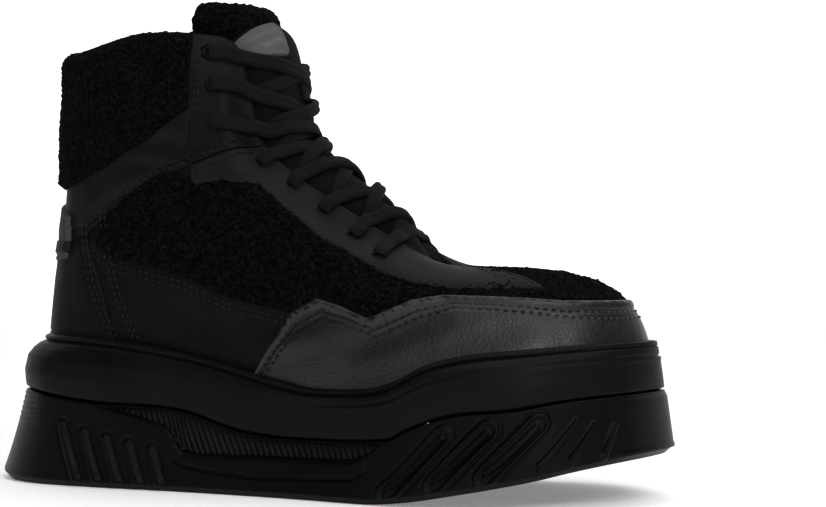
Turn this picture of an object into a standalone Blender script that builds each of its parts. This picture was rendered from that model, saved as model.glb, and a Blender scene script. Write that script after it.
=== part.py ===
# Right winter high-top trainer. Toe along +X, outer side along -Y, floor at z = 0, metres.
# The origin lies on the floor under the middle of the heel.
import bpy
import bmesh
from math import cos, pi, sin
from mathutils import Vector

# sole
soleLength = 0.285
soleBall = 0.107
soleBack = 0.045
soleHeight = 0.060
toeSpring = 0.017
heelFlare = 0.0150
toeFlare = 0.0033
sideFlare = 0.0015
cupFloor = 0.044
lipWidth = 0.0034
toeLip = 0.0050
lugDepth = 0.0030
lugWidth = 0.0045
windowDepth = 0.0024
ridgeRadius = 0.0016

# upper
lastLength = 0.248
lastBall = 0.0925
lastBack = 0.0235
shaftRise = 0.118
upperWall = 0.0024
overlay = 0.0014
liningPad = 0.0045
insoleThick = 0.0045

# lacing
holeRadius = 0.0024
laceRadius = 0.0022

# tongue
tongueThick = 0.0030
cuffThick = 0.0110
cuffTall = 0.0170
labelThick = 0.0010
cuffHeight = 1.033      # middle of the fleece roll as a share of the shaft
tongueReach = 0.012     # how far the tongue runs under each side of the throat
patchReach = 0.118      # heel patch, as a share of the way round to the toe
patchLow = 0.235
patchHigh = 0.455

clear = 0.0003
fit = 0.0006

for old in list(bpy.data.objects):
    bpy.data.objects.remove(old, do_unlink=True)


def blend(rows, key):
    # smooth values between the rows of a table whose first column is the key
    if key <= rows[0][0]:
        return list(rows[0][1:])
    if key >= rows[-1][0]:
        return list(rows[-1][1:])
    i = 0
    while rows[i + 1][0] < key:
        i += 1
    step = rows[i + 1][0] - rows[i][0]
    t = (key - rows[i][0]) / step
    values = []
    for c in range(1, len(rows[0])):
        slopes = []
        for k in (i, i + 1):
            if k == 0 or k == len(rows) - 1:
                slopes.append((rows[i + 1][c] - rows[i][c]) / step)
                continue
            back = rows[k][0] - rows[k - 1][0]
            ahead = rows[k + 1][0] - rows[k][0]
            before = (rows[k][c] - rows[k - 1][c]) / back
            after = (rows[k + 1][c] - rows[k][c]) / ahead
            mean = (before * ahead + after * back) / (back + ahead)
            cap = 3 * min(abs(before), abs(after)) if before * after > 0 else 0.0
            slopes.append(max(-cap, min(cap, mean)))
        start = (1 + 2 * t) * (1 - t) ** 2 * rows[i][c] + t * (1 - t) ** 2 * step * slopes[0]
        end = t * t * (3 - 2 * t) * rows[i + 1][c] - t * t * (1 - t) * step * slopes[1]
        values.append(start + end)
    return values


def straight(rows, key):
    # straight runs between the rows of a two-column table
    if key <= rows[0][0]:
        return rows[0][1]
    for (x0, y0), (x1, y1) in zip(rows, rows[1:]):
        if key <= x1:
            return y0 + (y1 - y0) * (key - x0) / (x1 - x0)
    return rows[-1][1]


def planLine(rows, length, width, back):
    # two smooth half outlines from heel to toe: x share, outer and inner half width as shares
    inner = [(x, i) for x, o, i in rows]
    outer = [(x, -o) for x, o, i in rows[1:-1]]
    ring = [Vector((x * length - back, y * width)) for x, y in inner + outer[::-1]]
    halves = {}
    count = len(ring)
    toe = len(rows) - 1
    for side, span in ((1, range(0, toe)), (-1, range(toe, count))):
        points = []
        for k in span:
            p0, p1, p2, p3 = (ring[(k + j) % count] for j in (-1, 0, 1, 2))
            for step in range(16):
                t = step / 16
                a = (p2 - p0) / 2
                b = (p3 - p1) / 2
                h = p1 * (1 + 2 * t) * (1 - t) ** 2 + a * t * (1 - t) ** 2
                points.append(h + p2 * t * t * (3 - 2 * t) - b * t * t * (1 - t))
        points.append(ring[(span[-1] + 1) % count])
        if side < 0:
            points.reverse()
        run = [0.0]
        for p, q in zip(points, points[1:]):
            run.append(run[-1] + (q - p).length)
        halves[side] = (points, run)
    return halves


def along(halves, u):
    # place and outward direction at u: 0 the heel, 1 the toe by the inner side, -1 by the outer
    points, run = halves[1 if u >= 0 else -1]
    goal = abs(u) * run[-1]
    i = 0
    while i < len(run) - 2 and run[i + 1] < goal:
        i += 1
    t = (goal - run[i]) / (run[i + 1] - run[i])
    place = points[i].lerp(points[i + 1], t)
    low = points[max(i - 1, 0)]
    high = points[min(i + 2, len(points) - 1)]
    way = (high - low).normalized()
    if abs(u) < 0.004:
        return place, Vector((-1, 0))
    if abs(u) > 0.996:
        return place, Vector((1, 0))
    return place, Vector((-way.y, way.x)) if u > 0 else Vector((way.y, -way.x))


def columns(half):
    # heel, up the inner side to the toe, back down the outer side
    return [k / half for k in range(half + 1)] + [-k / half for k in range(half - 1, 0, -1)]


# x share, outer and inner half width as shares of the ball width
soleRows = [
    (-0.008, 0.000, 0.000),
    (0.021, 0.209, 0.206),
    (0.097, 0.345, 0.338),
    (0.210, 0.385, 0.368),
    (0.350, 0.395, 0.360),
    (0.500, 0.432, 0.372),
    (0.620, 0.485, 0.415),
    (0.740, 0.508, 0.470),
    (0.840, 0.470, 0.468),
    (0.905, 0.362, 0.385),
    (0.955, 0.195, 0.235),
    (0.978, -0.050, 0.050),
]
lastRows = [
    (0.000, 0.000, 0.000),
    (0.036, 0.227, 0.227),
    (0.105, 0.324, 0.314),
    (0.238, 0.373, 0.357),
    (0.427, 0.427, 0.373),
    (0.577, 0.497, 0.416),
    (0.706, 0.519, 0.481),
    (0.863, 0.443, 0.465),
    (0.923, 0.341, 0.389),
    (0.970, 0.184, 0.270),
    (1.000, -0.055, 0.055),
]
soleHalves = planLine(soleRows, soleLength, soleBall, soleBack)
lastHalves = planLine(lastRows, lastLength, lastBall, lastBack)

# heights along the sole as shares of its length and of its height at the heel
groundRows = [(0.00, 0.17), (0.02, 0.06), (0.06, 0.0), (0.62, 0.0), (0.68, 0.08), (0.75, 0.28), (0.81, 0.47),
              (0.86, 0.64), (0.90, 0.80), (0.95, 0.96), (1.00, 1.06)]
seamOuter = [(0.00, 0.625), (0.07, 0.62), (0.20, 0.555), (0.34, 0.525), (0.44, 0.403), (0.53, 0.373),
             (0.66, 0.395), (0.69, 0.46), (0.74, 0.543), (0.83, 0.593), (0.90, 0.65), (1.00, 0.69)]
seamInner = [(0.00, 0.625), (0.07, 0.62), (0.20, 0.565), (0.34, 0.54), (0.46, 0.44), (0.57, 0.38),
             (0.74, 0.41), (0.79, 0.48), (0.84, 0.57), (0.90, 0.64), (1.00, 0.69)]
lipOuter = [(0.00, 0.995), (0.10, 0.990), (0.25, 0.957), (0.33, 0.905), (0.41, 0.832), (0.49, 0.743),
            (0.56, 0.692), (0.62, 0.697), (0.67, 0.750), (0.71, 0.848), (0.75, 0.900), (0.84, 0.950), (1.00, 0.998)]
lipInner = [(0.00, 0.995), (0.10, 0.990), (0.25, 0.965), (0.36, 0.930), (0.46, 0.850), (0.55, 0.783),
            (0.66, 0.735), (0.74, 0.750), (0.80, 0.825), (0.84, 0.900), (0.90, 0.957), (1.00, 0.998)]
floorRows = [(0.00, 1.0), (0.30, 0.95), (0.45, 0.82), (0.56, 0.74), (0.65, 0.74), (0.70, 0.81), (0.76, 0.91),
             (0.84, 0.98), (0.92, 1.05), (1.00, 1.10)]
windowOuter = [(0.19, 0.56), (0.21, 0.53), (0.27, 0.467), (0.322, 0.40), (0.333, 0.345), (0.350, 0.247),
               (0.375, 0.237), (0.605, 0.249), (0.633, 0.295), (0.662, 0.40)]
windowInner = [(0.19, 0.56), (0.21, 0.54), (0.27, 0.49), (0.322, 0.42), (0.345, 0.24), (0.375, 0.22),
               (0.68, 0.30), (0.73, 0.34), (0.745, 0.41)]


def soleShare(x):
    return (x + soleBack) / soleLength


def sideValue(outer, inner, x, u):
    share = soleShare(x)
    if u < 0:
        return blend(outer, share)[0]
    if u > 0:
        return blend(inner, share)[0]
    return (blend(outer, share)[0] + blend(inner, share)[0]) / 2


def ground(x):
    return blend(groundRows, soleShare(x))[0] * toeSpring


def seam(x, u):
    return sideValue(seamOuter, seamInner, x, u) * soleHeight


def lip(x, u):
    return sideValue(lipOuter, lipInner, x, u) * soleHeight


def footbed(x):
    return blend(floorRows, soleShare(x))[0] * cupFloor


# One row per column of the upper, heel to toe. s: way round the last. out: swell of the side.
# low: height of the lower handle. side and rim: where the column turns in and where it ends.
# Lengths along x are shares of the last, across of its ball, heights of the shaft.
# columns: s, out, low, sideX, sideOuter, sideInner, sideZ, rimX, rimOuter, rimInner, rimZ
columnRows = [
    (0.00, 0.000, 0.186, 0.060, 0.000, 0.000, 0.593, 0.036, 0.000, 0.000, 0.932),
    (0.08, 0.011, 0.186, 0.077, 0.184, 0.184, 0.593, 0.056, 0.216, 0.216, 0.941),
    (0.16, 0.027, 0.210, 0.125, 0.303, 0.297, 0.619, 0.125, 0.324, 0.318, 0.962),
    (0.27, 0.032, 0.230, 0.238, 0.365, 0.350, 0.661, 0.238, 0.368, 0.360, 1.000),
    (0.36, 0.034, 0.250, 0.306, 0.380, 0.365, 0.695, 0.319, 0.330, 0.340, 0.992),
    (0.43, 0.030, 0.260, 0.315, 0.380, 0.370, 0.820, 0.367, 0.240, 0.285, 0.960),
    (0.50, 0.026, 0.250, 0.335, 0.370, 0.365, 0.660, 0.391, 0.220, 0.262, 0.790),
    (0.56, 0.022, 0.230, 0.367, 0.340, 0.328, 0.542, 0.409, 0.216, 0.240, 0.645),
    (0.62, 0.016, 0.210, 0.441, 0.324, 0.300, 0.409, 0.460, 0.211, 0.200, 0.535),
    (0.68, 0.012, 0.190, 0.520, 0.275, 0.240, 0.287, 0.544, 0.184, 0.160, 0.420),
    (0.75, 0.008, 0.175, 0.640, 0.232, 0.205, 0.200, 0.625, 0.135, 0.110, 0.305),
    (0.81, 0.004, 0.175, 0.725, 0.185, 0.165, 0.195, 0.673, 0.086, 0.070, 0.235),
    (0.88, 0.000, 0.190, 0.819, 0.130, 0.130, 0.215, 0.690, 0.040, 0.040, 0.212),
    (1.00, -0.011, 0.203, 0.891, -0.010, 0.010, 0.220, 0.697, 0.000, 0.000, 0.205),
]


def signedColumns():
    # the table run right round the shoe, past the toe at both ends
    rows = []
    for row in columnRows:
        s, out, low, sx, so, si, sz, rx, ro, ri, rz = row
        rows.append((-s, out, low, sx, -so, sz, rx, -ro, rz))
        if s > 0:
            rows.append((s, out, low, sx, si, sz, rx, ri, rz))
        if 0.8 < s < 1:
            rows.append((2 - s, out, low, sx, -so, sz, rx, -ro, rz))
            rows.append((s - 2, out, low, sx, si, sz, rx, ri, rz))
    rows.sort()
    return rows


roundRows = signedColumns()


def upperPoint(u, v):
    # outer face of the upper: u round the shoe as in along, v from the sole to the rim
    place, away = along(lastHalves, max(-1, min(1, u)))
    out, low, sx, sy, sz, rx, ry, rz = blend(roundRows, u)
    foot = Vector((place.x, place.y, footbed(place.x) + clear))
    turn = foot + Vector((away.x, away.y, 0)) * out * lastBall
    turn.z = soleHeight + low * shaftRise
    side = Vector((sx * lastLength - lastBack, sy * lastBall, soleHeight + sz * shaftRise))
    rim = Vector((rx * lastLength - lastBack, ry * lastBall, soleHeight + rz * shaftRise))
    w = 1 - v
    return foot * w ** 3 + turn * 3 * w * w * v + side * 3 * w * v * v + rim * v ** 3


def upperNormal(u, v):
    step = 0.004
    lowU = max(-1, u - step)
    highU = min(1, u + step)
    lowV = max(0, v - step)
    highV = min(1, v + step)
    across = upperPoint(highU, v) - upperPoint(lowU, v)
    upward = upperPoint(u, highV) - upperPoint(u, lowV)
    if abs(u) > 0.995:
        across = Vector((0, -1, 0))
    return upward.cross(across).normalized()


def upperOff(u, v, gap):
    return upperPoint(u, v) + upperNormal(u, v) * gap


def upperLevel(u, z):
    # the v at which a column reaches the height z
    low = 0.0
    high = 1.0 if abs(u) < 0.7 else 0.45
    for turn in range(18):
        middle = (low + high) / 2
        if upperPoint(u, middle).z < z:
            low = middle
        else:
            high = middle
    return (low + high) / 2


def rimDistance(u, gap):
    # the v that lies a given way down from the rim
    v = 1.0
    last = upperPoint(u, v)
    walked = 0.0
    while walked < gap and v > 0.3:
        v -= 0.01
        here = upperPoint(u, v)
        walked += (here - last).length
        last = here
    return v


model = bpy.data.collections.new("winter_high_top")
tools = bpy.data.collections.new("cutters")
bpy.context.scene.collection.children.link(model)
bpy.context.scene.collection.children.link(tools)


def paint(name, colour, roughness):
    material = bpy.data.materials.new(name)
    material.use_nodes = True
    shader = material.node_tree.nodes["Principled BSDF"]
    shader.inputs["Base Color"].default_value = colour + (1,)
    shader.inputs["Roughness"].default_value = roughness
    return material


rubber = paint("outsole rubber", (0.010, 0.010, 0.010), 0.5)
foam = paint("midsole foam", (0.014, 0.014, 0.014), 0.7)
leather = paint("matte leather", (0.010, 0.010, 0.010), 0.7)
grained = paint("grained leather", (0.016, 0.016, 0.015), 0.45)
patchLeather = paint("patch leather", (0.035, 0.035, 0.038), 0.6)
fleece = paint("fleece", (0.006, 0.006, 0.006), 0.95)
textile = paint("tongue cloth", (0.012, 0.012, 0.012), 0.9)
woven = paint("label weave", (0.19, 0.19, 0.19), 0.8)
board = paint("insole board", (0.02, 0.02, 0.02), 0.9)
cordage = paint("lace", (0.008, 0.008, 0.008), 0.8)


def publish(name, points, faces, material, smooth=True, where=None):
    mesh = bpy.data.meshes.new(name)
    mesh.from_pydata([tuple(p) for p in points], [], faces)
    mesh.validate()
    mesh.materials.append(material)
    thing = bpy.data.objects.new(name, mesh)
    (where or model).objects.link(thing)
    work = bmesh.new()
    work.from_mesh(mesh)
    bmesh.ops.recalc_face_normals(work, faces=work.faces)
    work.to_mesh(mesh)
    work.free()
    if smooth:
        mesh.shade_smooth()
        mesh.set_sharp_from_angle(angle=0.7)
    return thing


def stack(loops, closed=True):
    # side faces between loops that have as many points each
    points = [p for loop in loops for p in loop]
    count = len(loops[0])
    faces = []
    for j in range(len(loops) - 1):
        for i in range(count if closed else count - 1):
            k = (i + 1) % count
            faces.append((j * count + i, j * count + k, (j + 1) * count + k, (j + 1) * count + i))
    return points, faces


def ladder(start, count, flip):
    # a cap of rungs from the inner side to the outer side of one loop
    faces = []
    for i in range(count // 2):
        a = start + i
        b = start + i + 1
        c = start + (count - i - 1) % count
        d = start + (count - i) % count
        for rung in ((a, b, c), (a, c, d)):
            if len(set(rung)) == 3:
                faces.append(rung[::-1] if flip else rung)
    return faces


def sheetGrid(rows):
    points = [p for row in rows for p in row]
    width = len(rows[0])
    faces = []
    for j in range(len(rows) - 1):
        for i in range(width - 1):
            a = j * width + i
            faces.append((a, a + 1, a + width + 1, a + width))
    return points, faces


def orient(thing, probe):
    # turn an open sheet so that its faces look towards the probe direction
    mesh = thing.data
    face = max(mesh.polygons, key=lambda f: f.area)
    if face.normal.dot(probe(face.center)) < 0:
        mesh.flip_normals()


def awayFromAxis(place):
    return Vector((place.x - min(max(place.x, 0.0), 0.1), place.y, 0.02 if place.x > 0.06 else 0.0))


def solidify(thing, thickness, side):
    shell = thing.modifiers.new("wall", "SOLIDIFY")
    shell.thickness = thickness
    shell.offset = side
    shell.use_quality_normals = True
    return shell


def cut(thing, cutter, operation="DIFFERENCE", solver="EXACT"):
    change = thing.modifiers.new(cutter.name, "BOOLEAN")
    change.operation = operation
    change.object = cutter
    change.solver = solver
    cutter.hide_render = True
    cutter.display_type = "WIRE"
    return change


def flare(u, away, share):
    # how far the side comes in at a share of the tread's height
    back = max(0.0, -away.x) ** 1.5
    front = max(0.0, away.x) ** 1.5
    return heelFlare * back * share + toeFlare * front * share + sideFlare * share * (1 - back - front)


def soleEdge(u, z, inset):
    place, away = along(soleHalves, u)
    top = seam(place.x, u)
    share = min(1.0, max(0.0, (z - ground(place.x)) / (top - ground(place.x))))
    spot = place - away * (flare(u, away, share) + inset)
    return Vector((spot.x, spot.y, z))


def windowAt(x, u):
    # lower edge of the recessed band in the side, and how deep the band is there
    rows = windowOuter if u < 0 else windowInner
    share = soleShare(x)
    if u == 0 or share <= rows[0][0] or share >= rows[-1][0]:
        return None, 0.0
    ends = min((share - rows[0][0]) / 0.03, (rows[-1][0] - share) / 0.008, 1.0)
    return straight(rows, share) * soleHeight, windowDepth * max(0.0, ends)


def jointEdge(u, z):
    # outline shared by the top of the tread and the bottom of the foam
    place, away = along(soleHalves, u)
    spot = place - away * (flare(u, away, 1.0) + windowAt(place.x, u)[1] + 0.0020)
    return Vector((spot.x, spot.y, z))


soleColumns = columns(44)


def buildOutsole():
    loops = [[] for k in range(6)]
    for u in soleColumns:
        place, away = along(soleHalves, u)
        low = ground(place.x)
        top = seam(place.x, u) - clear
        edge, deep = windowAt(place.x, u)
        if edge is None:
            edge = low + (top - low) * 0.5
        edge = min(max(edge, low + 0.004), top - 0.0016)
        loops[0].append(soleEdge(u, low, 0.0032))
        loops[1].append(soleEdge(u, low + 0.0022, 0.0004))
        loops[2].append(soleEdge(u, edge, 0.0))
        loops[3].append(soleEdge(u, min(edge + 0.0007, top - 0.0008), deep))
        loops[4].append(soleEdge(u, top - 0.0003, deep + 0.0001))
        loops[5].append(jointEdge(u, top))
    points, faces = stack(loops)
    count = len(soleColumns)
    faces += ladder(0, count, True)
    faces += ladder(5 * count, count, False)
    return publish("outsole", points, faces, rubber)


def bar(name, middle, size, material=rubber):
    bpy.ops.mesh.primitive_cube_add(size=1, location=middle)
    thing = bpy.context.object
    thing.name = name
    thing.scale = size
    bpy.ops.object.transform_apply(location=False, rotation=False, scale=True)
    thing.data.materials.append(material)
    for home in list(thing.users_collection):
        home.objects.unlink(thing)
    tools.objects.link(thing)
    return thing


# places of the bottom grooves as shares of the sole
grooveShares = (0.10, 0.19, 0.28, 0.357, 0.409, 0.456, 0.530, 0.602, 0.675, 0.75, 0.83)


def cutTread(outsole):
    for k, share in enumerate(grooveShares):
        x = share * soleLength - soleBack
        deep = ground(x) + lugDepth
        groove = bar("groove_%02d" % k, (x, 0, deep - 0.02), (lugWidth, soleBall * 1.3, 0.04))
        cut(outsole, groove, solver="MANIFOLD")
    arch = bar("arch", (0.395 * soleLength - soleBack, 0.001, lugDepth * 0.8 - 0.02),
               (0.18 * soleLength, soleBall * 0.52, 0.04))
    cut(outsole, arch, solver="MANIFOLD")


def tube(name, path, radius, material, sides=8):
    # closed round bar along a list of places
    loops = []
    for i, p in enumerate(path):
        ahead = (path[min(i + 1, len(path) - 1)] - path[max(i - 1, 0)]).normalized()
        sideways = ahead.cross(Vector((0, 0.13, 0.99))).normalized()
        up = sideways.cross(ahead)
        turns = [2 * pi * (k + 0.5) / sides for k in range(sides)]
        loops.append([p + sideways * radius * cos(a) + up * radius * sin(a) for a in turns])
    points, faces = stack(loops)
    faces.append(tuple(range(sides)))
    faces.append(tuple(range((len(path) - 1) * sides, len(path) * sides)))
    return publish(name, points, faces, material, where=tools)


def soleSpot(share, height, u):
    # a place on the tread's side from its x share and its height share, near the given side
    x = share * soleLength - soleBack
    low = 0.02
    high = 0.98
    for turn in range(18):
        middle = (low + high) / 2
        if along(soleHalves, middle * u)[0].x < x:
            low = middle
        else:
            high = middle
    place = along(soleHalves, low * u)[0]
    foot = ground(place.x)
    return soleEdge(low * u, foot + (seam(place.x, u) - foot) * height, 0.0)


# ridges on the tread's side: x share and height share at the lower and upper end
heelRidges = [(0.182 + 0.033 * k, 0.13, 0.155 + 0.0365 * k, 0.70 - 0.052 * k) for k in range(5)]
toeRidges = [(0.664 + 0.066 * k, 0.22, 0.738 + 0.0605 * k, 0.74) for k in range(3)]
toeRibs = [(0.860 + 0.034 * k, 0.20, 0.903 + 0.018 * k, 0.72 - 0.08 * k) for k in range(3)]


def addRidges(outsole):
    for u in (-1, 1):
        for k, (x0, h0, x1, h1) in enumerate(heelRidges + toeRidges + toeRibs):
            steps = [j / 6 for j in range(7)]
            path = [soleSpot(x0 + (x1 - x0) * t ** 0.85, h0 + (h1 - h0) * t, u) for t in steps]
            cut(outsole, tube("ridge_%d_%02d" % (u, k), path, ridgeRadius, rubber, 6), "UNION", "MANIFOLD")


def buildMidsole():
    # height share from seam to lip, share of the way to the lip's outline, swell
    profile = [
        (0.015, 0.00, -0.0012),
        (0.10, 0.00, 0.0002),
        (0.35, 0.03, 0.0010),
        (0.62, 0.22, 0.0012),
        (0.80, 0.55, 0.0006),
        (0.885, 0.86, -0.0004),
        (0.915, 0.90, 0.0000),
        (0.96, 1.00, 0.0002),
        (1.00, 0.98, -0.0008),
    ]
    loops = [[] for k in range(len(profile) + 4)]
    for u in soleColumns:
        place, away = along(soleHalves, u)
        level = upperLevel(u, lip(place.x, u))
        front = max(0.0, away.x) ** 1.5
        ledge = lipWidth + (toeLip - lipWidth) * front
        for turn in range(2):
            edge = upperOff(u, level, ledge)
            level = upperLevel(u, lip(edge.x, u))
        edge = upperOff(u, level, ledge)
        top = lip(edge.x, u)
        bottom = seam(place.x, u)
        loops[0].append(jointEdge(u, bottom))
        for loop, (share, inward, swell) in zip(loops[1:], profile):
            z = bottom + (top - bottom) * share
            inward += max(0.0, share ** 1.2 - inward) * front
            outer = place - away * (flare(u, away, 1.0) - swell * (1 - front))
            spot = Vector((outer.x, outer.y, z)).lerp(Vector((edge.x, edge.y, z)), inward)
            loop.append(spot)
        for loop, share in zip(loops[len(profile) + 1:], (1.0, 0.5, 0.0)):
            base = footbed(upperPoint(u, 0).x)
            z = base + (top - base) * share
            wall = upperOff(u, upperLevel(u, max(z, base + clear * 2)), fit)
            loop.append(Vector((wall.x, wall.y, z)))
    points, faces = stack(loops)
    count = len(soleColumns)
    faces += ladder(0, count, True)
    faces += ladder((len(loops) - 1) * count, count, False)
    return publish("midsole", points, faces, foam)


upperShares = (0, 0.05, 0.11, 0.19, 0.28, 0.38, 0.49, 0.60, 0.71, 0.81, 0.90, 1.0)
upperColumns = columns(28)


def buildUpper():
    loops = [[upperPoint(u, v) for u in upperColumns] for v in upperShares]
    points, faces = stack(loops)
    upper = publish("upper", points, faces, leather)
    orient(upper, awayFromAxis)
    solidify(upper, upperWall, -1)
    return upper


def buildInsole():
    loops = [[], [], []]
    for u in upperColumns:
        foot = upperPoint(u, 0)
        level = footbed(foot.x) + clear * 2
        for loop, up in zip(loops, (0.0, insoleThick - 0.001, insoleThick)):
            wall = upperOff(u, upperLevel(u, level + up), -upperWall - fit)
            inward = 0.001 if up == insoleThick else 0.0
            away = along(lastHalves, u)[1]
            loop.append(Vector((wall.x - away.x * inward, wall.y - away.y * inward, level + up)))
    points, faces = stack(loops)
    count = len(upperColumns)
    faces += ladder(0, count, True)
    faces += ladder(2 * count, count, False)
    return publish("insole", points, faces, board)


def strip(name, keys, lows, highs, gap, thick, material, count=8):
    # a piece lying along the upper's face: v runs between lows and highs at each u
    rows = []
    for j in range(count + 1):
        t = j / count
        rows.append([upperOff(u, a + (b - a) * t, gap) for u, a, b in zip(keys, lows, highs)])
    points, faces = sheetGrid(rows)
    thing = publish(name, points, faces, material)
    orient(thing, awayFromAxis)
    solidify(thing, thick, 1 if gap > 0 else -1)
    return thing


def buildLining():
    keys = [k / 22 for k in range(-9, 10)]
    return strip("collar_lining", keys, [0.55] * len(keys), [0.985] * len(keys),
                 -upperWall - fit, liningPad, fleece, 4)


def lineLevel(u, rows, low, high):
    # the v at which a column crosses a line drawn in the side view
    for turn in range(20):
        middle = (low + high) / 2
        spot = upperPoint(u, middle)
        if spot.z < straight(rows, spot.x):
            low = middle
        else:
            high = middle
    return (low + high) / 2


def sideLine(rows):
    return [(x * lastLength - lastBack, soleHeight + z * shaftRise) for x, z in rows]


# the toe piece's wavy top edge and the eyestay's lower edge: x share of the last, height share
toeLine = sideLine([(0.400, -0.30), (0.435, -0.120), (0.466, -0.024), (0.506, 0.085), (0.550, 0.129), (0.591, 0.104),
                    (0.635, 0.065), (0.692, 0.115), (0.736, 0.127), (0.794, 0.122), (0.899, 0.112), (1.04, 0.112)])
stayLine = sideLine([(0.250, 0.60), (0.300, 0.535), (0.331, 0.515), (0.379, 0.490), (0.428, 0.470), (0.476, 0.395), (0.542, 0.295),
                     (0.635, 0.195), (0.681, 0.160), (0.740, 0.14)])


stayTop = sideLine([(0.250, 0.62), (0.290, 0.534), (0.327, 0.564), (0.368, 0.593), (0.426, 0.627), (0.468, 0.644),
                    (0.60, 1.0)])


def buildToeGuard():
    # the sheet's columns run from the inner side over the toe to the outer side
    keys = [k / 28 for k in range(16, 29)] + [-k / 28 for k in range(27, 15, -1)]
    lows = []
    highs = []
    for u in keys:
        sole = upperLevel(u, lip(upperPoint(u, 0).x, u))
        sole = upperLevel(u, lip(upperPoint(u, sole).x, u) + fit)
        lows.append(sole)
        highs.append(max(lineLevel(u, toeLine, 0.0, 0.7), sole + 0.03))
    return strip("toe_guard", keys, lows, highs, fit, overlay, grained, 5)


def buildEyestays():
    for name, side in (("eyestay_outer", -1), ("eyestay_inner", 1)):
        keys = [side * (0.43 + 0.43 * k / 14) for k in range(15)]
        lows = [lineLevel(u, stayLine, 0.2, 0.97) for u in keys]
        highs = [lineLevel(u, stayTop, 0.2, 0.985) for u in keys]
        highs = [max(b, a + 0.03) for a, b in zip(lows, highs)]
        strip(name, keys, lows, highs, fit + clear, overlay, leather, 4)


def buildHeelPatch():
    keys = [patchReach * k / 10 for k in range(-10, 11)]
    low = soleHeight + patchLow * shaftRise
    high = soleHeight + patchHigh * shaftRise
    lows = [upperLevel(u, low) for u in keys]
    highs = [upperLevel(u, high - (high - low) * 0.28 * (u / patchReach) ** 2) for u in keys]
    return strip("heel_patch", keys, lows, highs, fit, overlay, patchLeather, 4)


def findSpot(x, z, side):
    # the u and v of the upper's point that shows at x and z in the side view
    best = min(((upperPoint(side * a / 100, b / 40).x - x) ** 2 + (upperPoint(side * a / 100, b / 40).z - z) ** 2, a, b)
               for a in range(42, 84, 2) for b in range(24, 40))
    u = side * best[1] / 100
    v = best[2] / 40
    for turn in range(5):
        here = upperPoint(u, v)
        du = (upperPoint(u + 0.001 * side, v) - here) / 0.001
        dv = (upperPoint(u, v + 0.001) - here) / 0.001
        det = du.x * dv.z - dv.x * du.z
        ex = x - here.x
        ez = z - here.z
        u += side * max(-0.02, min(0.02, (ex * dv.z - dv.x * ez) / det))
        v += max(-0.03, min(0.03, (du.x * ez - ex * du.z) / det))
    return u, min(v, 0.97)


# lace holes in the side view, top to bottom: x share of the last, height share of the shaft
holeShares = [(0.334, 0.930), (0.344, 0.820), (0.356, 0.695), (0.414, 0.555),
              (0.466, 0.478), (0.518, 0.392), (0.572, 0.310), (0.622, 0.242)]
holes = {-1: [], 1: []}
for xShare, zShare in holeShares:
    u, v = findSpot(xShare * lastLength - lastBack, soleHeight + zShare * shaftRise, -1)
    holes[-1].append((u, v))
    holes[1].append((-u, v))


def punchHoles(targets):
    for side in (-1, 1):
        for k, (u, v) in enumerate(holes[side]):
            middle = upperPoint(u, v)
            bpy.ops.mesh.primitive_cylinder_add(vertices=8, radius=holeRadius, depth=0.016, location=middle)
            punch = bpy.context.object
            punch.name = "punch_%s_%d" % ("outer" if side < 0 else "inner", k)
            punch.rotation_euler = upperNormal(u, v).to_track_quat("Z", "Y").to_euler()
            for home in list(punch.users_collection):
                home.objects.unlink(punch)
            tools.objects.link(punch)
            for target in targets:
                cut(target, punch, solver="MANIFOLD")


def rimAcross(u, toward):
    # direction that leaves the rim at u in the upper's own face, towards the other side
    way = upperPoint(u + 0.003, 1) - upperPoint(u - 0.003, 1)
    across = way.cross(upperNormal(u, 0.995)).normalized()
    return across if across.dot(toward) > 0 else -across


def instep(s, w):
    # face that carries on from the upper across the open throat; w runs from -1 (outer) to 1 (inner)
    reach = 0.5
    if abs(w) > reach:
        side = 1 if w > 0 else -1
        share = (abs(w) - reach) / (1 - reach)
        return upperPoint(side * s, 1 - (1 - rimDistance(side * s, tongueReach)) * share)
    left = upperPoint(-s, 1)
    right = upperPoint(s, 1)
    gap = right - left
    a = left + rimAcross(-s, gap) * gap.length * 0.36
    b = right + rimAcross(s, -gap) * gap.length * 0.36
    t = (w + reach) / (2 * reach)
    return left * (1 - t) ** 3 + a * 3 * (1 - t) ** 2 * t + b * 3 * (1 - t) * t * t + right * t ** 3


def instepOff(s, w, gap):
    here = instep(s, w)
    across = instep(s, min(1, w + 0.02)) - instep(s, max(-1, w - 0.02))
    down = instep(s + 0.006, w) - instep(s - 0.006, w)
    away = across.cross(down).normalized()
    if away.x + away.z < 0:
        away = -away
    return here + away * gap


# the tongue's top edge seen from above: w, x share of the last, y share of the ball
topRows = [(-1.0, 0.285, -0.165), (-0.7, 0.318, -0.185), (-0.45, 0.343, -0.150), (-0.2, 0.357, -0.065),
           (0.05, 0.361, 0.030), (0.3, 0.355, 0.115), (0.55, 0.337, 0.180), (0.8, 0.310, 0.212), (1.0, 0.285, 0.200)]


def cuffLine(w, z):
    x, y = blend(topRows, w)
    return Vector((x * lastLength - lastBack, y * lastBall, z))


tongueWays = [k / 8 for k in range(-8, 9)]
tongueGap = upperWall + 2 * fit
tongueEnd = 0.87
tongueBend = 0.50


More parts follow.
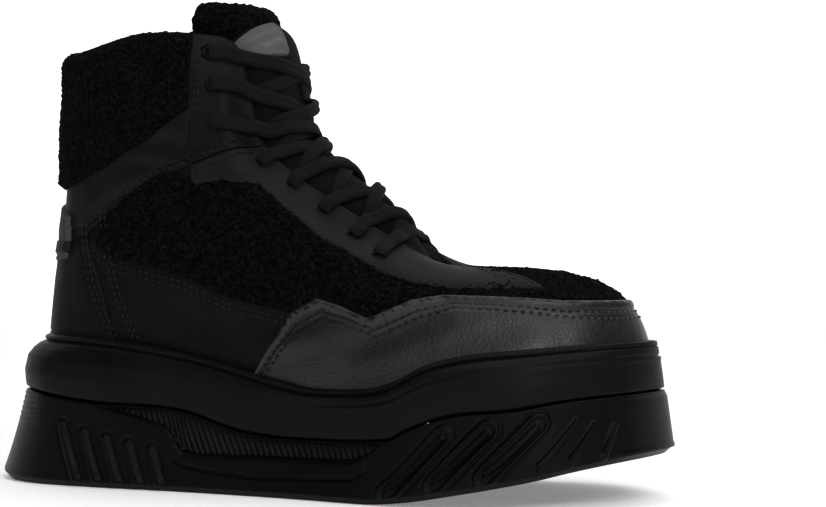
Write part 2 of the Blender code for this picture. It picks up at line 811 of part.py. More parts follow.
def tongueRow(a, extra):
    # a runs from the lower end, 0, to the top edge, 1
    bend = 0.60
    lift = soleHeight + cuffHeight * shaftRise - cuffTall / 2 - fit
    if a <= bend:
        s = tongueEnd + (tongueBend - tongueEnd) * a / bend
        return [instepOff(s, w, extra - tongueGap) for w in tongueWays]
    t = (a - bend) / (1 - bend)
    low = [instepOff(tongueBend, w, extra - tongueGap) for w in tongueWays]
    back = [instepOff(tongueBend + 0.03, w, extra - tongueGap) for w in tongueWays]
    row = []
    for w, start, before in zip(tongueWays, low, back):
        end = cuffLine(w, lift)
        end += (end - cuffLine(0, lift) + Vector((0.02, 0, 0))).normalized() * extra
        pull = (start - before).normalized() * (end - start).length * 0.35
        turn = Vector((0.0, 0, -(end - start).length * 0.3))
        row.append(start * (1 - t) ** 3 + (start + pull) * 3 * (1 - t) ** 2 * t
                   + (end + turn) * 3 * (1 - t) * t * t + end * t ** 3)
    return row


def buildTongue():
    rows = [tongueRow(k / 14, 0.0) for k in range(15)]
    points, faces = sheetGrid(rows)
    tongue = publish("tongue", points, faces, textile)
    orient(tongue, lambda p: Vector((1, 0, 0.5)))
    solidify(tongue, tongueThick, -1)
    return tongue


def buildCuff():
    # the fleece roll: an oval section swept along the tongue's top edge
    middle = soleHeight + cuffHeight * shaftRise
    loops = []
    for k in range(17):
        w = -1 + k / 8
        here = cuffLine(w, middle)
        way = (cuffLine(min(1, w + 0.02), middle) - cuffLine(max(-1, w - 0.02), middle)).normalized()
        out = way.cross(Vector((0, 0, 1)))
        size = 0.55 if k in (0, 16) else 1.0
        ring = []
        for j in range(10):
            turn = 2 * pi * j / 10
            ring.append(here + out * cos(turn) * cuffThick / 2 * size
                        + Vector((0, 0, 1)) * sin(turn) * cuffTall / 2 * size)
        loops.append(ring)
    points, faces = stack(loops)
    faces.append(tuple(range(10)))
    faces.append(tuple(range(160, 170)))
    return publish("tongue_cuff", points, faces, fleece)


def tonguePatch(name, low, high, left, right, thick, material):
    # a thin plate on the tongue's face, between two heights a and two ways across w
    rows = []
    for j in range(5):
        row = tongueRow(low + (high - low) * j / 4, clear + fit)
        rows.append([row[k] for k in range(left, right + 1)])
    points, faces = sheetGrid(rows)
    thing = publish(name, points, faces, material)
    orient(thing, lambda p: Vector((1, 0, 0.5)))
    solidify(thing, thick, 1)
    return thing


def buildLabel():
    return tonguePatch("tongue_label", 0.84, 0.97, 3, 11, labelThick, woven)


def buildKeeper():
    return tonguePatch("lace_keeper", 0.60, 0.67, 8, 11, labelThick, textile)


def rimNearest(u, v):
    hole = upperPoint(u, v)
    side = 1 if u > 0 else -1
    return min((k / 200 for k in range(88, 172)), key=lambda s: (upperPoint(side * s, 1) - hole).length)


def legPath(first, second, lift):
    # a lace leg from one hole over the throat to a hole on the other side
    rise = overlay + 3 * fit + laceRadius + clear
    ends = [(u, v, rimNearest(u, v)) for u, v in (first, second)]
    path = []
    steps = 6
    for k in range(steps + 1):
        t = k / steps
        side = -1 if first[0] < 0 else 1
        w = side * (1 - 2 * t)
        if abs(w) > 0.5:
            u, v, s = ends[0] if t < 0.5 else ends[1]
            share = (abs(w) - 0.5) / 0.5
            aside = Vector((laceRadius * (0.4 if t < 0.5 else -0.55) * share, 0, 0))
            path.append(aside + upperOff(u * share + (s if u > 0 else -s) * (1 - share), 1 + (v - 1) * share, rise))
        else:
            s = ends[0][2] + (ends[1][2] - ends[0][2]) * (t - 0.25) * 2
            path.append(instepOff(s, w, rise + lift * (1 - (w / 0.5) ** 2)))
    return path


def buildLace():
    base = None
    legs = []
    for k in range(len(holeShares) - 1):
        legs.append(legPath(holes[-1][k], holes[1][k + 1], 0.0012))
        legs.append(legPath(holes[1][k], holes[-1][k + 1], 0.0012))
    legs.append(legPath(holes[-1][-1], holes[1][-1], 0.0))
    lace = tube("lace", legs[0], laceRadius, cordage, 6)
    tools.objects.unlink(lace)
    model.objects.link(lace)
    for k, leg in enumerate(legs[1:]):
        cut(lace, tube("leg_%02d" % k, leg, laceRadius, cordage, 6), "UNION", "MANIFOLD")
    return lace


outsole = buildOutsole()
cutTread(outsole)
addRidges(outsole)
buildMidsole()
upper = buildUpper()
punchHoles([upper])
buildInsole()
buildLining()
buildTongue()
buildCuff()
buildLabel()
buildKeeper()
buildLace()
buildToeGuard()
buildEyestays()
buildHeelPatch()
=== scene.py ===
import bpy
import bmesh
from math import cos, exp, pi, radians, sin, sqrt
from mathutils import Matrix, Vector, noise


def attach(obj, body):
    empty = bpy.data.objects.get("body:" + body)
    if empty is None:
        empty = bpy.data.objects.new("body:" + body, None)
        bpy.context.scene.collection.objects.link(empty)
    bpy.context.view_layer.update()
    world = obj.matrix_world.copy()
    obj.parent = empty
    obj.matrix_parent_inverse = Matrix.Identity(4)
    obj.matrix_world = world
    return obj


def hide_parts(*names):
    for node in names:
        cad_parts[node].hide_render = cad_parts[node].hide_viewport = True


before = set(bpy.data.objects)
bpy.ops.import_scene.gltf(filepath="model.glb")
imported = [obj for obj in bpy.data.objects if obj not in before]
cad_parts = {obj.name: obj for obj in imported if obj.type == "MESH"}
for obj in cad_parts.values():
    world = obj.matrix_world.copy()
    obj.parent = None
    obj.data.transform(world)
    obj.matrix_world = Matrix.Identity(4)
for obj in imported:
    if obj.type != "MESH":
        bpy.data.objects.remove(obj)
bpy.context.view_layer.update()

mm = 0.001


def linear(hexColour):
    # sRGB hex to linear values
    parts = [int(hexColour[i:i + 2], 16) / 255 for i in (1, 3, 5)]
    return tuple(c / 12.92 if c < 0.04045 else ((c + 0.055) / 1.055) ** 2.4 for c in parts) + (1.0,)


# camera, fitted to the photo: 22 degrees ahead of the side view, low, a little over 0.7 m away
camera = {"place": (0.4102, -0.6858, 0.0857), "turn": 22.0, "tilt": 0.46, "lens": 83.1}
camData = bpy.data.cameras.new("camera")
camData.lens = camera["lens"]
camData.sensor_width = 36
camObject = bpy.data.objects.new("camera", camData)
camObject.location = camera["place"]
camObject.rotation_euler = (radians(90 + camera["tilt"]), 0, radians(camera["turn"]))
bpy.context.collection.objects.link(camObject)
bpy.context.scene.camera = camObject


# shape of the shoe, in the same sizes as the construction
sole = {"length": 0.285, "ball": 0.107, "back": 0.045, "height": 0.060, "spring": 0.017, "floor": 0.044,
        "flare": 0.0150, "toeFlare": 0.0033, "sideFlare": 0.0015, "lip": 0.0034, "toeLip": 0.0050,
        "window": 0.0024}
last = {"length": 0.248, "ball": 0.0925, "back": 0.0235, "rise": 0.118, "wall": 0.0024, "overlay": 0.0014}


def blend(rows, key):
    # smooth values between the rows of a table whose first column is the key
    if key <= rows[0][0]:
        return list(rows[0][1:])
    if key >= rows[-1][0]:
        return list(rows[-1][1:])
    i = 0
    while rows[i + 1][0] < key:
        i += 1
    step = rows[i + 1][0] - rows[i][0]
    t = (key - rows[i][0]) / step
    values = []
    for c in range(1, len(rows[0])):
        slopes = []
        for k in (i, i + 1):
            if k == 0 or k == len(rows) - 1:
                slopes.append((rows[i + 1][c] - rows[i][c]) / step)
                continue
            back = rows[k][0] - rows[k - 1][0]
            ahead = rows[k + 1][0] - rows[k][0]
            before = (rows[k][c] - rows[k - 1][c]) / back
            after = (rows[k + 1][c] - rows[k][c]) / ahead
            mean = (before * ahead + after * back) / (back + ahead)
            cap = 3 * min(abs(before), abs(after)) if before * after > 0 else 0.0
            slopes.append(max(-cap, min(cap, mean)))
        start = (1 + 2 * t) * (1 - t) ** 2 * rows[i][c] + t * (1 - t) ** 2 * step * slopes[0]
        end = t * t * (3 - 2 * t) * rows[i + 1][c] - t * t * (1 - t) * step * slopes[1]
        values.append(start + end)
    return values


def straight(rows, key):
    # straight runs between the rows of a two-column table
    if key <= rows[0][0]:
        return rows[0][1]
    for (x0, y0), (x1, y1) in zip(rows, rows[1:]):
        if key <= x1:
            return y0 + (y1 - y0) * (key - x0) / (x1 - x0)
    return rows[-1][1]


def planLine(rows, length, width, back):
    # two smooth half outlines from heel to toe: x share, outer and inner half width as shares
    inner = [(x, i) for x, o, i in rows]
    outer = [(x, -o) for x, o, i in rows[1:-1]]
    ring = [Vector((x * length - back, y * width)) for x, y in inner + outer[::-1]]
    halves = {}
    count = len(ring)
    toe = len(rows) - 1
    for side, span in ((1, range(0, toe)), (-1, range(toe, count))):
        points = []
        for k in span:
            p0, p1, p2, p3 = (ring[(k + j) % count] for j in (-1, 0, 1, 2))
            for step in range(16):
                t = step / 16
                a = (p2 - p0) / 2
                b = (p3 - p1) / 2
                h = p1 * (1 + 2 * t) * (1 - t) ** 2 + a * t * (1 - t) ** 2
                points.append(h + p2 * t * t * (3 - 2 * t) - b * t * t * (1 - t))
        points.append(ring[(span[-1] + 1) % count])
        if side < 0:
            points.reverse()
        run = [0.0]
        for p, q in zip(points, points[1:]):
            run.append(run[-1] + (q - p).length)
        halves[side] = (points, run)
    return halves


def along(halves, u):
    # place and outward direction at u: 0 the heel, 1 the toe by the inner side, -1 by the outer
    points, run = halves[1 if u >= 0 else -1]
    goal = abs(u) * run[-1]
    low = 0
    high = len(run) - 1
    while high - low > 1:
        middle = (low + high) // 2
        if run[middle] < goal:
            low = middle
        else:
            high = middle
    t = (goal - run[low]) / (run[low + 1] - run[low])
    place = points[low].lerp(points[low + 1], t)
    before = (points[low + 1] - points[max(low - 1, 0)]).normalized()
    after = (points[min(low + 2, len(points) - 1)] - points[low]).normalized()
    way = before.lerp(after, t).normalized()
    if abs(u) < 0.004:
        return place, Vector((-1, 0))
    if abs(u) > 0.996:
        return place, Vector((1, 0))
    return place, Vector((-way.y, way.x)) if u > 0 else Vector((way.y, -way.x))


# x share, outer and inner half width as shares of the ball width
soleRows = [
    (-0.008, 0.000, 0.000), (0.021, 0.209, 0.206), (0.097, 0.345, 0.338), (0.210, 0.385, 0.368),
    (0.350, 0.395, 0.360), (0.500, 0.432, 0.372), (0.620, 0.485, 0.415), (0.740, 0.508, 0.470),
    (0.840, 0.470, 0.468), (0.905, 0.362, 0.385), (0.955, 0.195, 0.235), (0.978, -0.050, 0.050),
]
lastRows = [
    (0.000, 0.000, 0.000), (0.036, 0.227, 0.227), (0.105, 0.324, 0.314), (0.238, 0.373, 0.357),
    (0.427, 0.427, 0.373), (0.577, 0.497, 0.416), (0.706, 0.519, 0.481), (0.863, 0.443, 0.465),
    (0.923, 0.341, 0.389), (0.970, 0.184, 0.270), (1.000, -0.055, 0.055),
]
soleHalves = planLine(soleRows, sole["length"], sole["ball"], sole["back"])
lastHalves = planLine(lastRows, last["length"], last["ball"], last["back"])

# heights along the sole as shares of its length and of its height at the heel
groundRows = [(0.00, 0.17), (0.02, 0.06), (0.06, 0.0), (0.62, 0.0), (0.68, 0.08), (0.75, 0.28),
              (0.81, 0.47), (0.86, 0.64), (0.90, 0.80), (0.95, 0.96), (1.00, 1.06)]
seamOuter = [(0.00, 0.625), (0.07, 0.62), (0.20, 0.555), (0.34, 0.525), (0.44, 0.403), (0.53, 0.373),
             (0.66, 0.395), (0.69, 0.46), (0.74, 0.543), (0.83, 0.593), (0.90, 0.65), (1.00, 0.69)]
seamInner = [(0.00, 0.625), (0.07, 0.62), (0.20, 0.565), (0.34, 0.54), (0.46, 0.44), (0.57, 0.38),
             (0.74, 0.41), (0.79, 0.48), (0.84, 0.57), (0.90, 0.64), (1.00, 0.69)]
lipOuter = [(0.00, 0.995), (0.10, 0.990), (0.25, 0.957), (0.33, 0.905), (0.41, 0.832), (0.49, 0.743),
            (0.56, 0.692), (0.62, 0.697), (0.67, 0.750), (0.71, 0.848), (0.75, 0.900), (0.84, 0.950),
            (1.00, 0.998)]
lipInner = [(0.00, 0.995), (0.10, 0.990), (0.25, 0.965), (0.36, 0.930), (0.46, 0.850), (0.55, 0.783),
            (0.66, 0.735), (0.74, 0.750), (0.80, 0.825), (0.84, 0.900), (0.90, 0.957), (1.00, 0.998)]
floorRows = [(0.00, 1.0), (0.30, 0.95), (0.45, 0.82), (0.56, 0.74), (0.65, 0.74), (0.70, 0.81),
             (0.76, 0.91), (0.84, 0.98), (0.92, 1.05), (1.00, 1.10)]
windowOuter = [(0.19, 0.56), (0.21, 0.53), (0.27, 0.467), (0.322, 0.40), (0.333, 0.345), (0.350, 0.247),
               (0.375, 0.237), (0.605, 0.249), (0.633, 0.295), (0.662, 0.40)]
windowInner = [(0.19, 0.56), (0.21, 0.54), (0.27, 0.49), (0.322, 0.42), (0.345, 0.24), (0.375, 0.22),
               (0.68, 0.30), (0.73, 0.34), (0.745, 0.41)]


def soleShare(x):
    return (x + sole["back"]) / sole["length"]


def sideValue(outer, inner, x, u):
    share = soleShare(x)
    if u < 0:
        return blend(outer, share)[0]
    if u > 0:
        return blend(inner, share)[0]
    return (blend(outer, share)[0] + blend(inner, share)[0]) / 2


def ground(x):
    return blend(groundRows, soleShare(x))[0] * sole["spring"]


def seam(x, u):
    return sideValue(seamOuter, seamInner, x, u) * sole["height"]


def lip(x, u):
    return sideValue(lipOuter, lipInner, x, u) * sole["height"]


def footbed(x):
    return blend(floorRows, soleShare(x))[0] * sole["floor"]


# columns of the upper: s, out, low, sideX, sideOuter, sideInner, sideZ, rimX, rimOuter, rimInner, rimZ
columnRows = [
    (0.00, 0.000, 0.186, 0.060, 0.000, 0.000, 0.593, 0.036, 0.000, 0.000, 0.932),
    (0.08, 0.011, 0.186, 0.077, 0.184, 0.184, 0.593, 0.056, 0.216, 0.216, 0.941),
    (0.16, 0.027, 0.210, 0.125, 0.303, 0.297, 0.619, 0.125, 0.324, 0.318, 0.962),
    (0.27, 0.032, 0.230, 0.238, 0.365, 0.350, 0.661, 0.238, 0.368, 0.360, 1.000),
    (0.36, 0.034, 0.250, 0.306, 0.380, 0.365, 0.695, 0.319, 0.330, 0.340, 0.992),
    (0.43, 0.030, 0.260, 0.315, 0.380, 0.370, 0.820, 0.367, 0.240, 0.285, 0.960),
    (0.50, 0.026, 0.250, 0.335, 0.370, 0.365, 0.660, 0.391, 0.220, 0.262, 0.790),
    (0.56, 0.022, 0.230, 0.367, 0.340, 0.328, 0.542, 0.409, 0.216, 0.240, 0.645),
    (0.62, 0.016, 0.210, 0.441, 0.324, 0.300, 0.409, 0.460, 0.211, 0.200, 0.535),
    (0.68, 0.012, 0.190, 0.520, 0.275, 0.240, 0.287, 0.544, 0.184, 0.160, 0.420),
    (0.75, 0.008, 0.175, 0.640, 0.232, 0.205, 0.200, 0.625, 0.135, 0.110, 0.305),
    (0.81, 0.004, 0.175, 0.725, 0.185, 0.165, 0.195, 0.673, 0.086, 0.070, 0.235),
    (0.88, 0.000, 0.190, 0.819, 0.130, 0.130, 0.215, 0.690, 0.040, 0.040, 0.212),
    (1.00, -0.011, 0.203, 0.891, -0.010, 0.010, 0.220, 0.697, 0.000, 0.000, 0.205),
]


def signedColumns():
    rows = []
    for row in columnRows:
        s, out, low, sx, so, si, sz, rx, ro, ri, rz = row
        rows.append((-s, out, low, sx, -so, sz, rx, -ro, rz))
        if s > 0:
            rows.append((s, out, low, sx, si, sz, rx, ri, rz))
        if 0.8 < s < 1:
            rows.append((2 - s, out, low, sx, -so, sz, rx, -ro, rz))
            rows.append((s - 2, out, low, sx, si, sz, rx, ri, rz))
    rows.sort()
    return rows


roundRows = signedColumns()
columnCache = {}


def onLast(x, y, z):
    # a place from its shares of the last's length, its ball width and the shaft's height
    return Vector((x * last["length"] - last["back"], y * last["ball"], sole["height"] + z * last["rise"]))


def column(u):
    key = round(u, 5)
    if key not in columnCache:
        place, away = along(lastHalves, max(-1, min(1, u)))
        out, low, sx, sy, sz, rx, ry, rz = blend(roundRows, u)
        foot = Vector((place.x, place.y, footbed(place.x) + 0.0003))
        turn = foot + Vector((away.x, away.y, 0)) * out * last["ball"]
        turn.z = sole["height"] + low * last["rise"]
        columnCache[key] = (foot, turn, onLast(sx, sy, sz), onLast(rx, ry, rz))
    return columnCache[key]


def upperPoint(u, v):
    # outer face of the upper: u round the shoe as in along, v from the sole to the rim
    foot, turn, side, rim = column(u)
    w = 1 - v
    return foot * w ** 3 + turn * (3 * w * w * v) + side * (3 * w * v * v) + rim * v ** 3


def upperNormal(u, v):
    step = 0.004
    across = upperPoint(min(1, u + step), v) - upperPoint(max(-1, u - step), v)
    upward = upperPoint(u, min(1, v + step)) - upperPoint(u, max(0, v - step))
    if abs(u) > 0.995:
        across = Vector((0, -1, 0))
    return upward.cross(across).normalized()


def upperOff(u, v, gap):
    return upperPoint(u, v) + upperNormal(u, v) * gap


def upperLevel(u, z):
    low = 0.0
    high = 1.0 if abs(u) < 0.7 else 0.45
    for turn in range(16):
        middle = (low + high) / 2
        if upperPoint(u, middle).z < z:
            low = middle
        else:
            high = middle
    return (low + high) / 2


def lineLevel(u, rows, low, high):
    # the v at which a column crosses a line drawn in the side view
    for turn in range(16):
        middle = (low + high) / 2
        spot = upperPoint(u, middle)
        if spot.z < straight(rows, spot.x):
            low = middle
        else:
            high = middle
    return (low + high) / 2


def rimDistance(u, gap):
    v = 1.0
    back = upperPoint(u, v)
    walked = 0.0
    while walked < gap and v > 0.3:
        v -= 0.01
        here = upperPoint(u, v)
        walked += (here - back).length
        back = here
    return v


def sideLine(rows):
    return [(x * last["length"] - last["back"], sole["height"] + z * last["rise"]) for x, z in rows]


def ramp(value, low, high):
    t = max(0.0, min(1.0, (value - low) / (high - low)))
    return t * t * (3 - 2 * t)


def bump(value, middle, half):
    # a soft ridge, 1 in the middle and 0 beyond half a width
    t = abs(value - middle) / half
    return 0.0 if t >= 1 else (1 - t * t) ** 2


def rolled(share):
    # a quarter circle: 0 at an edge, 1 from a full roll inwards
    return sqrt(max(0.0, 1 - (1 - min(1.0, share)) ** 2))


def onSegment(x, z, ax, az, bx, bz):
    # distance from a place to a line piece in the side view, and the share of the way along it
    dx = bx - ax
    dz = bz - az
    t = min(1.0, max(0.0, ((x - ax) * dx + (z - az) * dz) / (dx * dx + dz * dz)))
    return sqrt((x - ax - dx * t) ** 2 + (z - az - dz * t) ** 2), t


# materials
def addNode(tree, kind, settings=None, links=None):
    node = tree.nodes.new(kind)
    for name, value in (settings or {}).items():
        if isinstance(name, int) or name in node.inputs:
            node.inputs[name].default_value = value
        else:
            setattr(node, name, value)
    for name, source in (links or {}).items():
        tree.links.new(source, node.inputs[name])
    return node


def newMaterial(name, colour, roughness, specular=0.5, sheen=0.0, coat=0.0):
    material = bpy.data.materials.new(name)
    material.use_nodes = True
    shader = material.node_tree.nodes["Principled BSDF"]
    shader.inputs["Base Color"].default_value = linear(colour)
    shader.inputs["Roughness"].default_value = roughness
    shader.inputs["Specular IOR Level"].default_value = specular
    shader.inputs["Sheen Weight"].default_value = sheen
    shader.inputs["Sheen Roughness"].default_value = 0.6
    shader.inputs["Coat Weight"].default_value = coat
    shader.inputs["Coat Roughness"].default_value = 0.35
    return material, material.node_tree, shader


def mixColour(tree, amount, dark, light):
    mixer = addNode(tree, "ShaderNodeMix", {"data_type": "RGBA"})
    mixer.inputs[6].default_value = linear(dark)
    mixer.inputs[7].default_value = linear(light)
    tree.links.new(amount, mixer.inputs[0])
    return mixer.outputs[2]


def stretch(tree, source, low, high, first, second):
    settings = {"From Min": low, "From Max": high, "To Min": first, "To Max": second}
    return addNode(tree, "ShaderNodeMapRange", settings, {"Value": source}).outputs["Result"]


def noiseNode(tree, coords, sizeMm, detail=3.0, roughness=0.5):
    settings = {"Scale": 1000 / sizeMm, "Detail": detail, "Roughness": roughness}
    return addNode(tree, "ShaderNodeTexNoise", settings, {"Vector": coords}).outputs["Fac"]


def cells(tree, coords, sizeMm):
    settings = {"feature": "F1", "Scale": 1000 / sizeMm}
    return addNode(tree, "ShaderNodeTexVoronoi", settings, {"Vector": coords}).outputs["Distance"]


def bumpInto(tree, shader, height, depthMm, strength=1.0, before=None):
    settings = {"Strength": strength, "Distance": depthMm * mm}
    node = addNode(tree, "ShaderNodeBump", settings, {"Height": height})
    if before:
        tree.links.new(before, node.inputs["Normal"])
    tree.links.new(node.outputs["Normal"], shader.inputs["Normal"])
    return node.outputs["Normal"]


def mottle(tree, shader, coords, sizeMm, dark, light):
    # a slow drift between two tones
    slow = noiseNode(tree, coords, sizeMm, 3)
    tone = mixColour(tree, stretch(tree, slow, 0.35, 0.7, 0, 1), dark, light)
    tree.links.new(tone, shader.inputs["Base Color"])


def roughen(tree, shader, source, low, first, second):
    tree.links.new(stretch(tree, source, low, 0.7, first, second), shader.inputs["Roughness"])


def objectCoords(tree):
    return addNode(tree, "ShaderNodeTexCoord").outputs["Object"]


def nappedLeather(name, dark, light, roughness, grainMm, depthMm):
    # corrected leather: fine pores, slow tone change, a dull handled sheen
    material, tree, shader = newMaterial(name, dark, roughness, 0.07)
    coords = objectCoords(tree)
    mottle(tree, shader, coords, 22, dark, light)
    fine = noiseNode(tree, coords, grainMm * 1.6, 3, 0.6)
    roughen(tree, shader, fine, 0.3, roughness - 0.07, roughness + 0.08)
    first = bumpInto(tree, shader, cells(tree, coords, grainMm), depthMm, 0.7)
    bumpInto(tree, shader, noiseNode(tree, coords, 9, 4), 0.35, 0.5, first)
    return material


def grainedLeather(name, dark, light, roughness):
    # embossed pebble grain with a light finish coat that catches the light
    material, tree, shader = newMaterial(name, dark, roughness, 0.34, 0.0, 0.02)
    coords = objectCoords(tree)
    pebble = cells(tree, coords, 1.15)
    mottle(tree, shader, coords, 16, dark, light)
    roughen(tree, shader, pebble, 0.0, roughness - 0.06, roughness + 0.14)
    first = bumpInto(tree, shader, pebble, -0.12, 0.8)
    second = bumpInto(tree, shader, noiseNode(tree, coords, 0.5, 2), 0.03, 0.6, first)
    bumpInto(tree, shader, noiseNode(tree, coords, 14, 4), 0.35, 0.45, second)
    return material


def fleeceMaterial(name, dark, light):
    # brushed synthetic fleece: soft curled fibres with painted shade, deep black, in the hollows between them
    # and a painted highlight on their tips, a grey bloom at the edges
    material, tree, shader = newMaterial(name, dark, 0.95, 0.01, 0.01)
    coords = objectCoords(tree)
    curl = noiseNode(tree, coords, 2.2, 5, 0.7)
    clump = stretch(tree, cells(tree, coords, 1.3), 0.0, 0.8, 1.25, 0.55)
    depth = addNode(tree, "ShaderNodeMath", {"operation": "MULTIPLY"}, {0: curl, 1: clump}).outputs[0]
    # the colour follows the curls' height: painted shade in the hollows, painted highlight on the tips
    tone = mixColour(tree, stretch(tree, depth, 0.34, 0.66, 0, 1), dark, light)
    tree.links.new(tone, shader.inputs["Base Color"])
    first = bumpInto(tree, shader, depth, 1.6, 0.9)
    bumpInto(tree, shader, noiseNode(tree, coords, 0.7, 3, 0.7), 0.35, 0.8, first)
    return material


def mouldedFoam(name, dark, light, roughness, grainMm):
    # moulded foam or rubber with a spark-eroded texture from the mould
    material, tree, shader = newMaterial(name, dark, roughness, 0.075)
    coords = objectCoords(tree)
    grain = cells(tree, coords, grainMm)
    mottle(tree, shader, coords, 25, dark, light)
    roughen(tree, shader, grain, 0.0, roughness - 0.05, roughness + 0.1)
    bumpInto(tree, shader, grain, -0.07, 0.8)
    return material


def wovenCloth(name, dark, light, threadMm):
    # plain weave of round threads, from the piece's own map in metres; the colour follows the threads'
    # height: painted shade, darker, in the dips between threads, and a painted highlight, lighter, on their
    # crests
    material, tree, shader = newMaterial(name, dark, 0.85, 0.05, 0.01)
    coords = addNode(tree, "ShaderNodeUVMap", {"uv_map": "threads"}).outputs["UV"]
    waves = {}
    for place, way in enumerate(("X", "Y")):
        settings = {"wave_type": "BANDS", "bands_direction": way, "Scale": 500 / threadMm}
        waves[place] = addNode(tree, "ShaderNodeTexWave", settings, {"Vector": coords}).outputs["Fac"]
    height = addNode(tree, "ShaderNodeMath", {"operation": "MAXIMUM"}, waves).outputs[0]
    # colour from the thread height: painted shade in the dips, painted highlight on the crests
    tree.links.new(mixColour(tree, height, dark, light), shader.inputs["Base Color"])
    bumpInto(tree, shader, height, threadMm * 0.25, 0.8)
    return material


quarterLeather = nappedLeather("matte side leather", "#080808", "#0d0d0d", 0.60, 0.45, 0.05)
cuffLeather = nappedLeather("matte cuff leather", "#0c0c0d", "#131314", 0.56, 0.5, 0.05)
stayLeather = nappedLeather("nubuck eyestay", "#121212", "#191919", 0.66, 0.4, 0.04)
patchLeather = nappedLeather("heel patch leather", "#333437", "#3e3f42", 0.7, 0.5, 0.05)
bandLeather = nappedLeather("dark heel band", "#0f1017", "#15161e", 0.6, 0.5, 0.05)
toeLeather = grainedLeather("pebbled toe leather", "#0a0a09", "#10100f", 0.36)
# fleece tones: the near-black one is painted shade between the curls, the grey one a painted highlight on
# their tips
fleece = fleeceMaterial("black fleece", "#020202", "#141414")
foamMould = mouldedFoam("moulded midsole foam", "#070707", "#0b0b0b", 0.44, 0.9)
treadRubber = mouldedFoam("moulded tread rubber", "#030303", "#050505", 0.36, 0.35)
# each weave's darker tone is painted shade in the dips between threads and its lighter tone a painted
# highlight on the crests; the label's grey is its own colour
tongueCloth = wovenCloth("tongue cloth", "#080808", "#111111", 0.8)
webbing = wovenCloth("keeper webbing", "#0b0b0b", "#1b1b1b", 1.6)
labelCloth = wovenCloth("grey label weave", "#48484a", "#666668", 0.7)
laceCloth = wovenCloth("ribbed lace", "#070707", "#141414", 0.9)
thread = newMaterial("bonded thread", "#161616", 0.45, 0.15)[0]
# near-black tone for the punched holes: painted shade of the hole's inside, on its turned-in edge, walls and
# the disc that closes it
holeEdgeShade = newMaterial("punched hole edge and painted shade", "#040404", 0.8, 0.05)[0]
insoleFelt = newMaterial("insole felt", "#0f0f0f", 0.95, 0.05, 0.02)[0]


def warpGrid(name, nx, ny, place, material, joined=False, scale=(1.0, 1.0)):
    # a flat grid from the operator, bent to place(a, b) with a and b from 0 to 1; joined closes it on itself
    work = bmesh.new()
    bmesh.ops.create_grid(work, x_segments=nx, y_segments=ny, size=0.5)
    layer = work.loops.layers.uv.new("threads")
    shares = {}
    for vert in work.verts:
        shares[vert.index] = (vert.co.x + 0.5, vert.co.y + 0.5)
    wide, tall = scale
    for face in work.faces:
        for corner in face.loops:
            a, b = shares[corner.vert.index]
            corner[layer].uv = (a * wide, b * tall)
    for vert in work.verts:
        a, b = shares[vert.index]
        vert.co = place(a, b)
    if joined:
        bmesh.ops.remove_doubles(work, verts=work.verts, dist=0.00002)
    return finishPiece(name, work, material)


def finishPiece(name, work, material):
    mesh = bpy.data.meshes.new(name)
    work.to_mesh(mesh)
    work.free()
    mesh.materials.append(material)
    for face in mesh.polygons:
        face.use_smooth = True
    piece = bpy.data.objects.new(name, mesh)
    bpy.context.collection.objects.link(piece)
    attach(piece, "root")
    return piece


def turned(q):
    # q runs on round the shoe; u stays between -1 and 1
    return (q + 1) % 2 - 1 if not -1 <= q <= 1 else q


def faceOut(piece, probe):
    # the faces as a whole look the way the probe says
    if sum(face.normal.dot(probe(face.center)) * face.area for face in piece.data.polygons) < 0:
        piece.data.flip_normals()


def fromShoe(place):
    return Vector((place.x - min(max(place.x, 0.0), 0.1), place.y, 0.02 if place.x > 0.06 else 0.0))


def tufts(place, size, depth):
    # small curled tufts of fleece, as a height in metres
    p = place / size
    return depth * (0.75 - noise.voronoi(p)[0][0] + 0.35 * noise.noise(p * 0.6) + 0.25 * noise.noise(p * 2.7))


# distances from a panel's edge of the rows that round it
fineRows = (0.0, 0.0003, 0.0007, 0.0012, 0.0019)


def edgeStep(t, length, fine, count):
    # rows bunched at both edges of a panel: share t of the rows to share of the way across
    j = t * count
    if j < len(fine):
        i = int(j)
        after = fine[i + 1] if i + 1 < len(fine) else fine[-1]
        return min(0.48, (fine[i] + (after - fine[i]) * (j - i)) / length)
    if count - j < len(fine):
        return 1 - edgeStep((count - j) / count, length, fine, count)
    first = edgeStep((len(fine) - 1) / count, length, fine, count)
    share = (j - len(fine) + 1) / (count - 2 * len(fine) + 2)
    return first + (1 - 2 * first) * share


# main creases: x share of the last and height share of the shaft at both ends, then width and
# depth in metres
creases = [(0.10, 0.36, 0.27, 0.50, 0.0070, 0.0011), (0.05, 0.30, 0.19, 0.40, 0.0060, 0.0008),
           (0.215, 0.66, 0.33, 0.60, 0.0065, 0.0009), (0.20, 0.56, 0.30, 0.545, 0.0055, 0.0007),
           (0.46, 0.02, 0.56, 0.075, 0.0080, 0.0010), (0.62, -0.02, 0.74, 0.06, 0.0075, 0.0008),
           (0.78, 0.00, 0.90, 0.05, 0.0090, 0.0007), (0.29, 0.08, 0.42, -0.02, 0.0100, 0.0008),
           (0.56, 0.22, 0.66, 0.17, 0.0060, 0.0006), (0.145, 0.06, 0.155, 0.22, 0.0090, 0.0007)]


def creased(spot):
    # a trough with a low ridge beside it for each crease that passes near the place
    x = (spot.x + last["back"]) / last["length"]
    z = (spot.z - sole["height"]) / last["rise"]
    total = 0.0
    for x0, z0, x1, z1, width, deep in creases:
        if abs(x - (x0 + x1) / 2) > 0.16:
            continue
        reach, t = onSegment(x * last["length"], z * last["rise"], x0 * last["length"], z0 * last["rise"],
                             x1 * last["length"], z1 * last["rise"])
        fade = sin(pi * (0.12 + 0.76 * t))
        total += deep * fade * (0.45 * bump(reach, width * 0.95, width * 0.9) - bump(reach, 0.0, width))
    return total


stitchSize = {"long": 0.0021, "pitch": 0.0031, "radius": 0.00038, "proud": 0.0002}


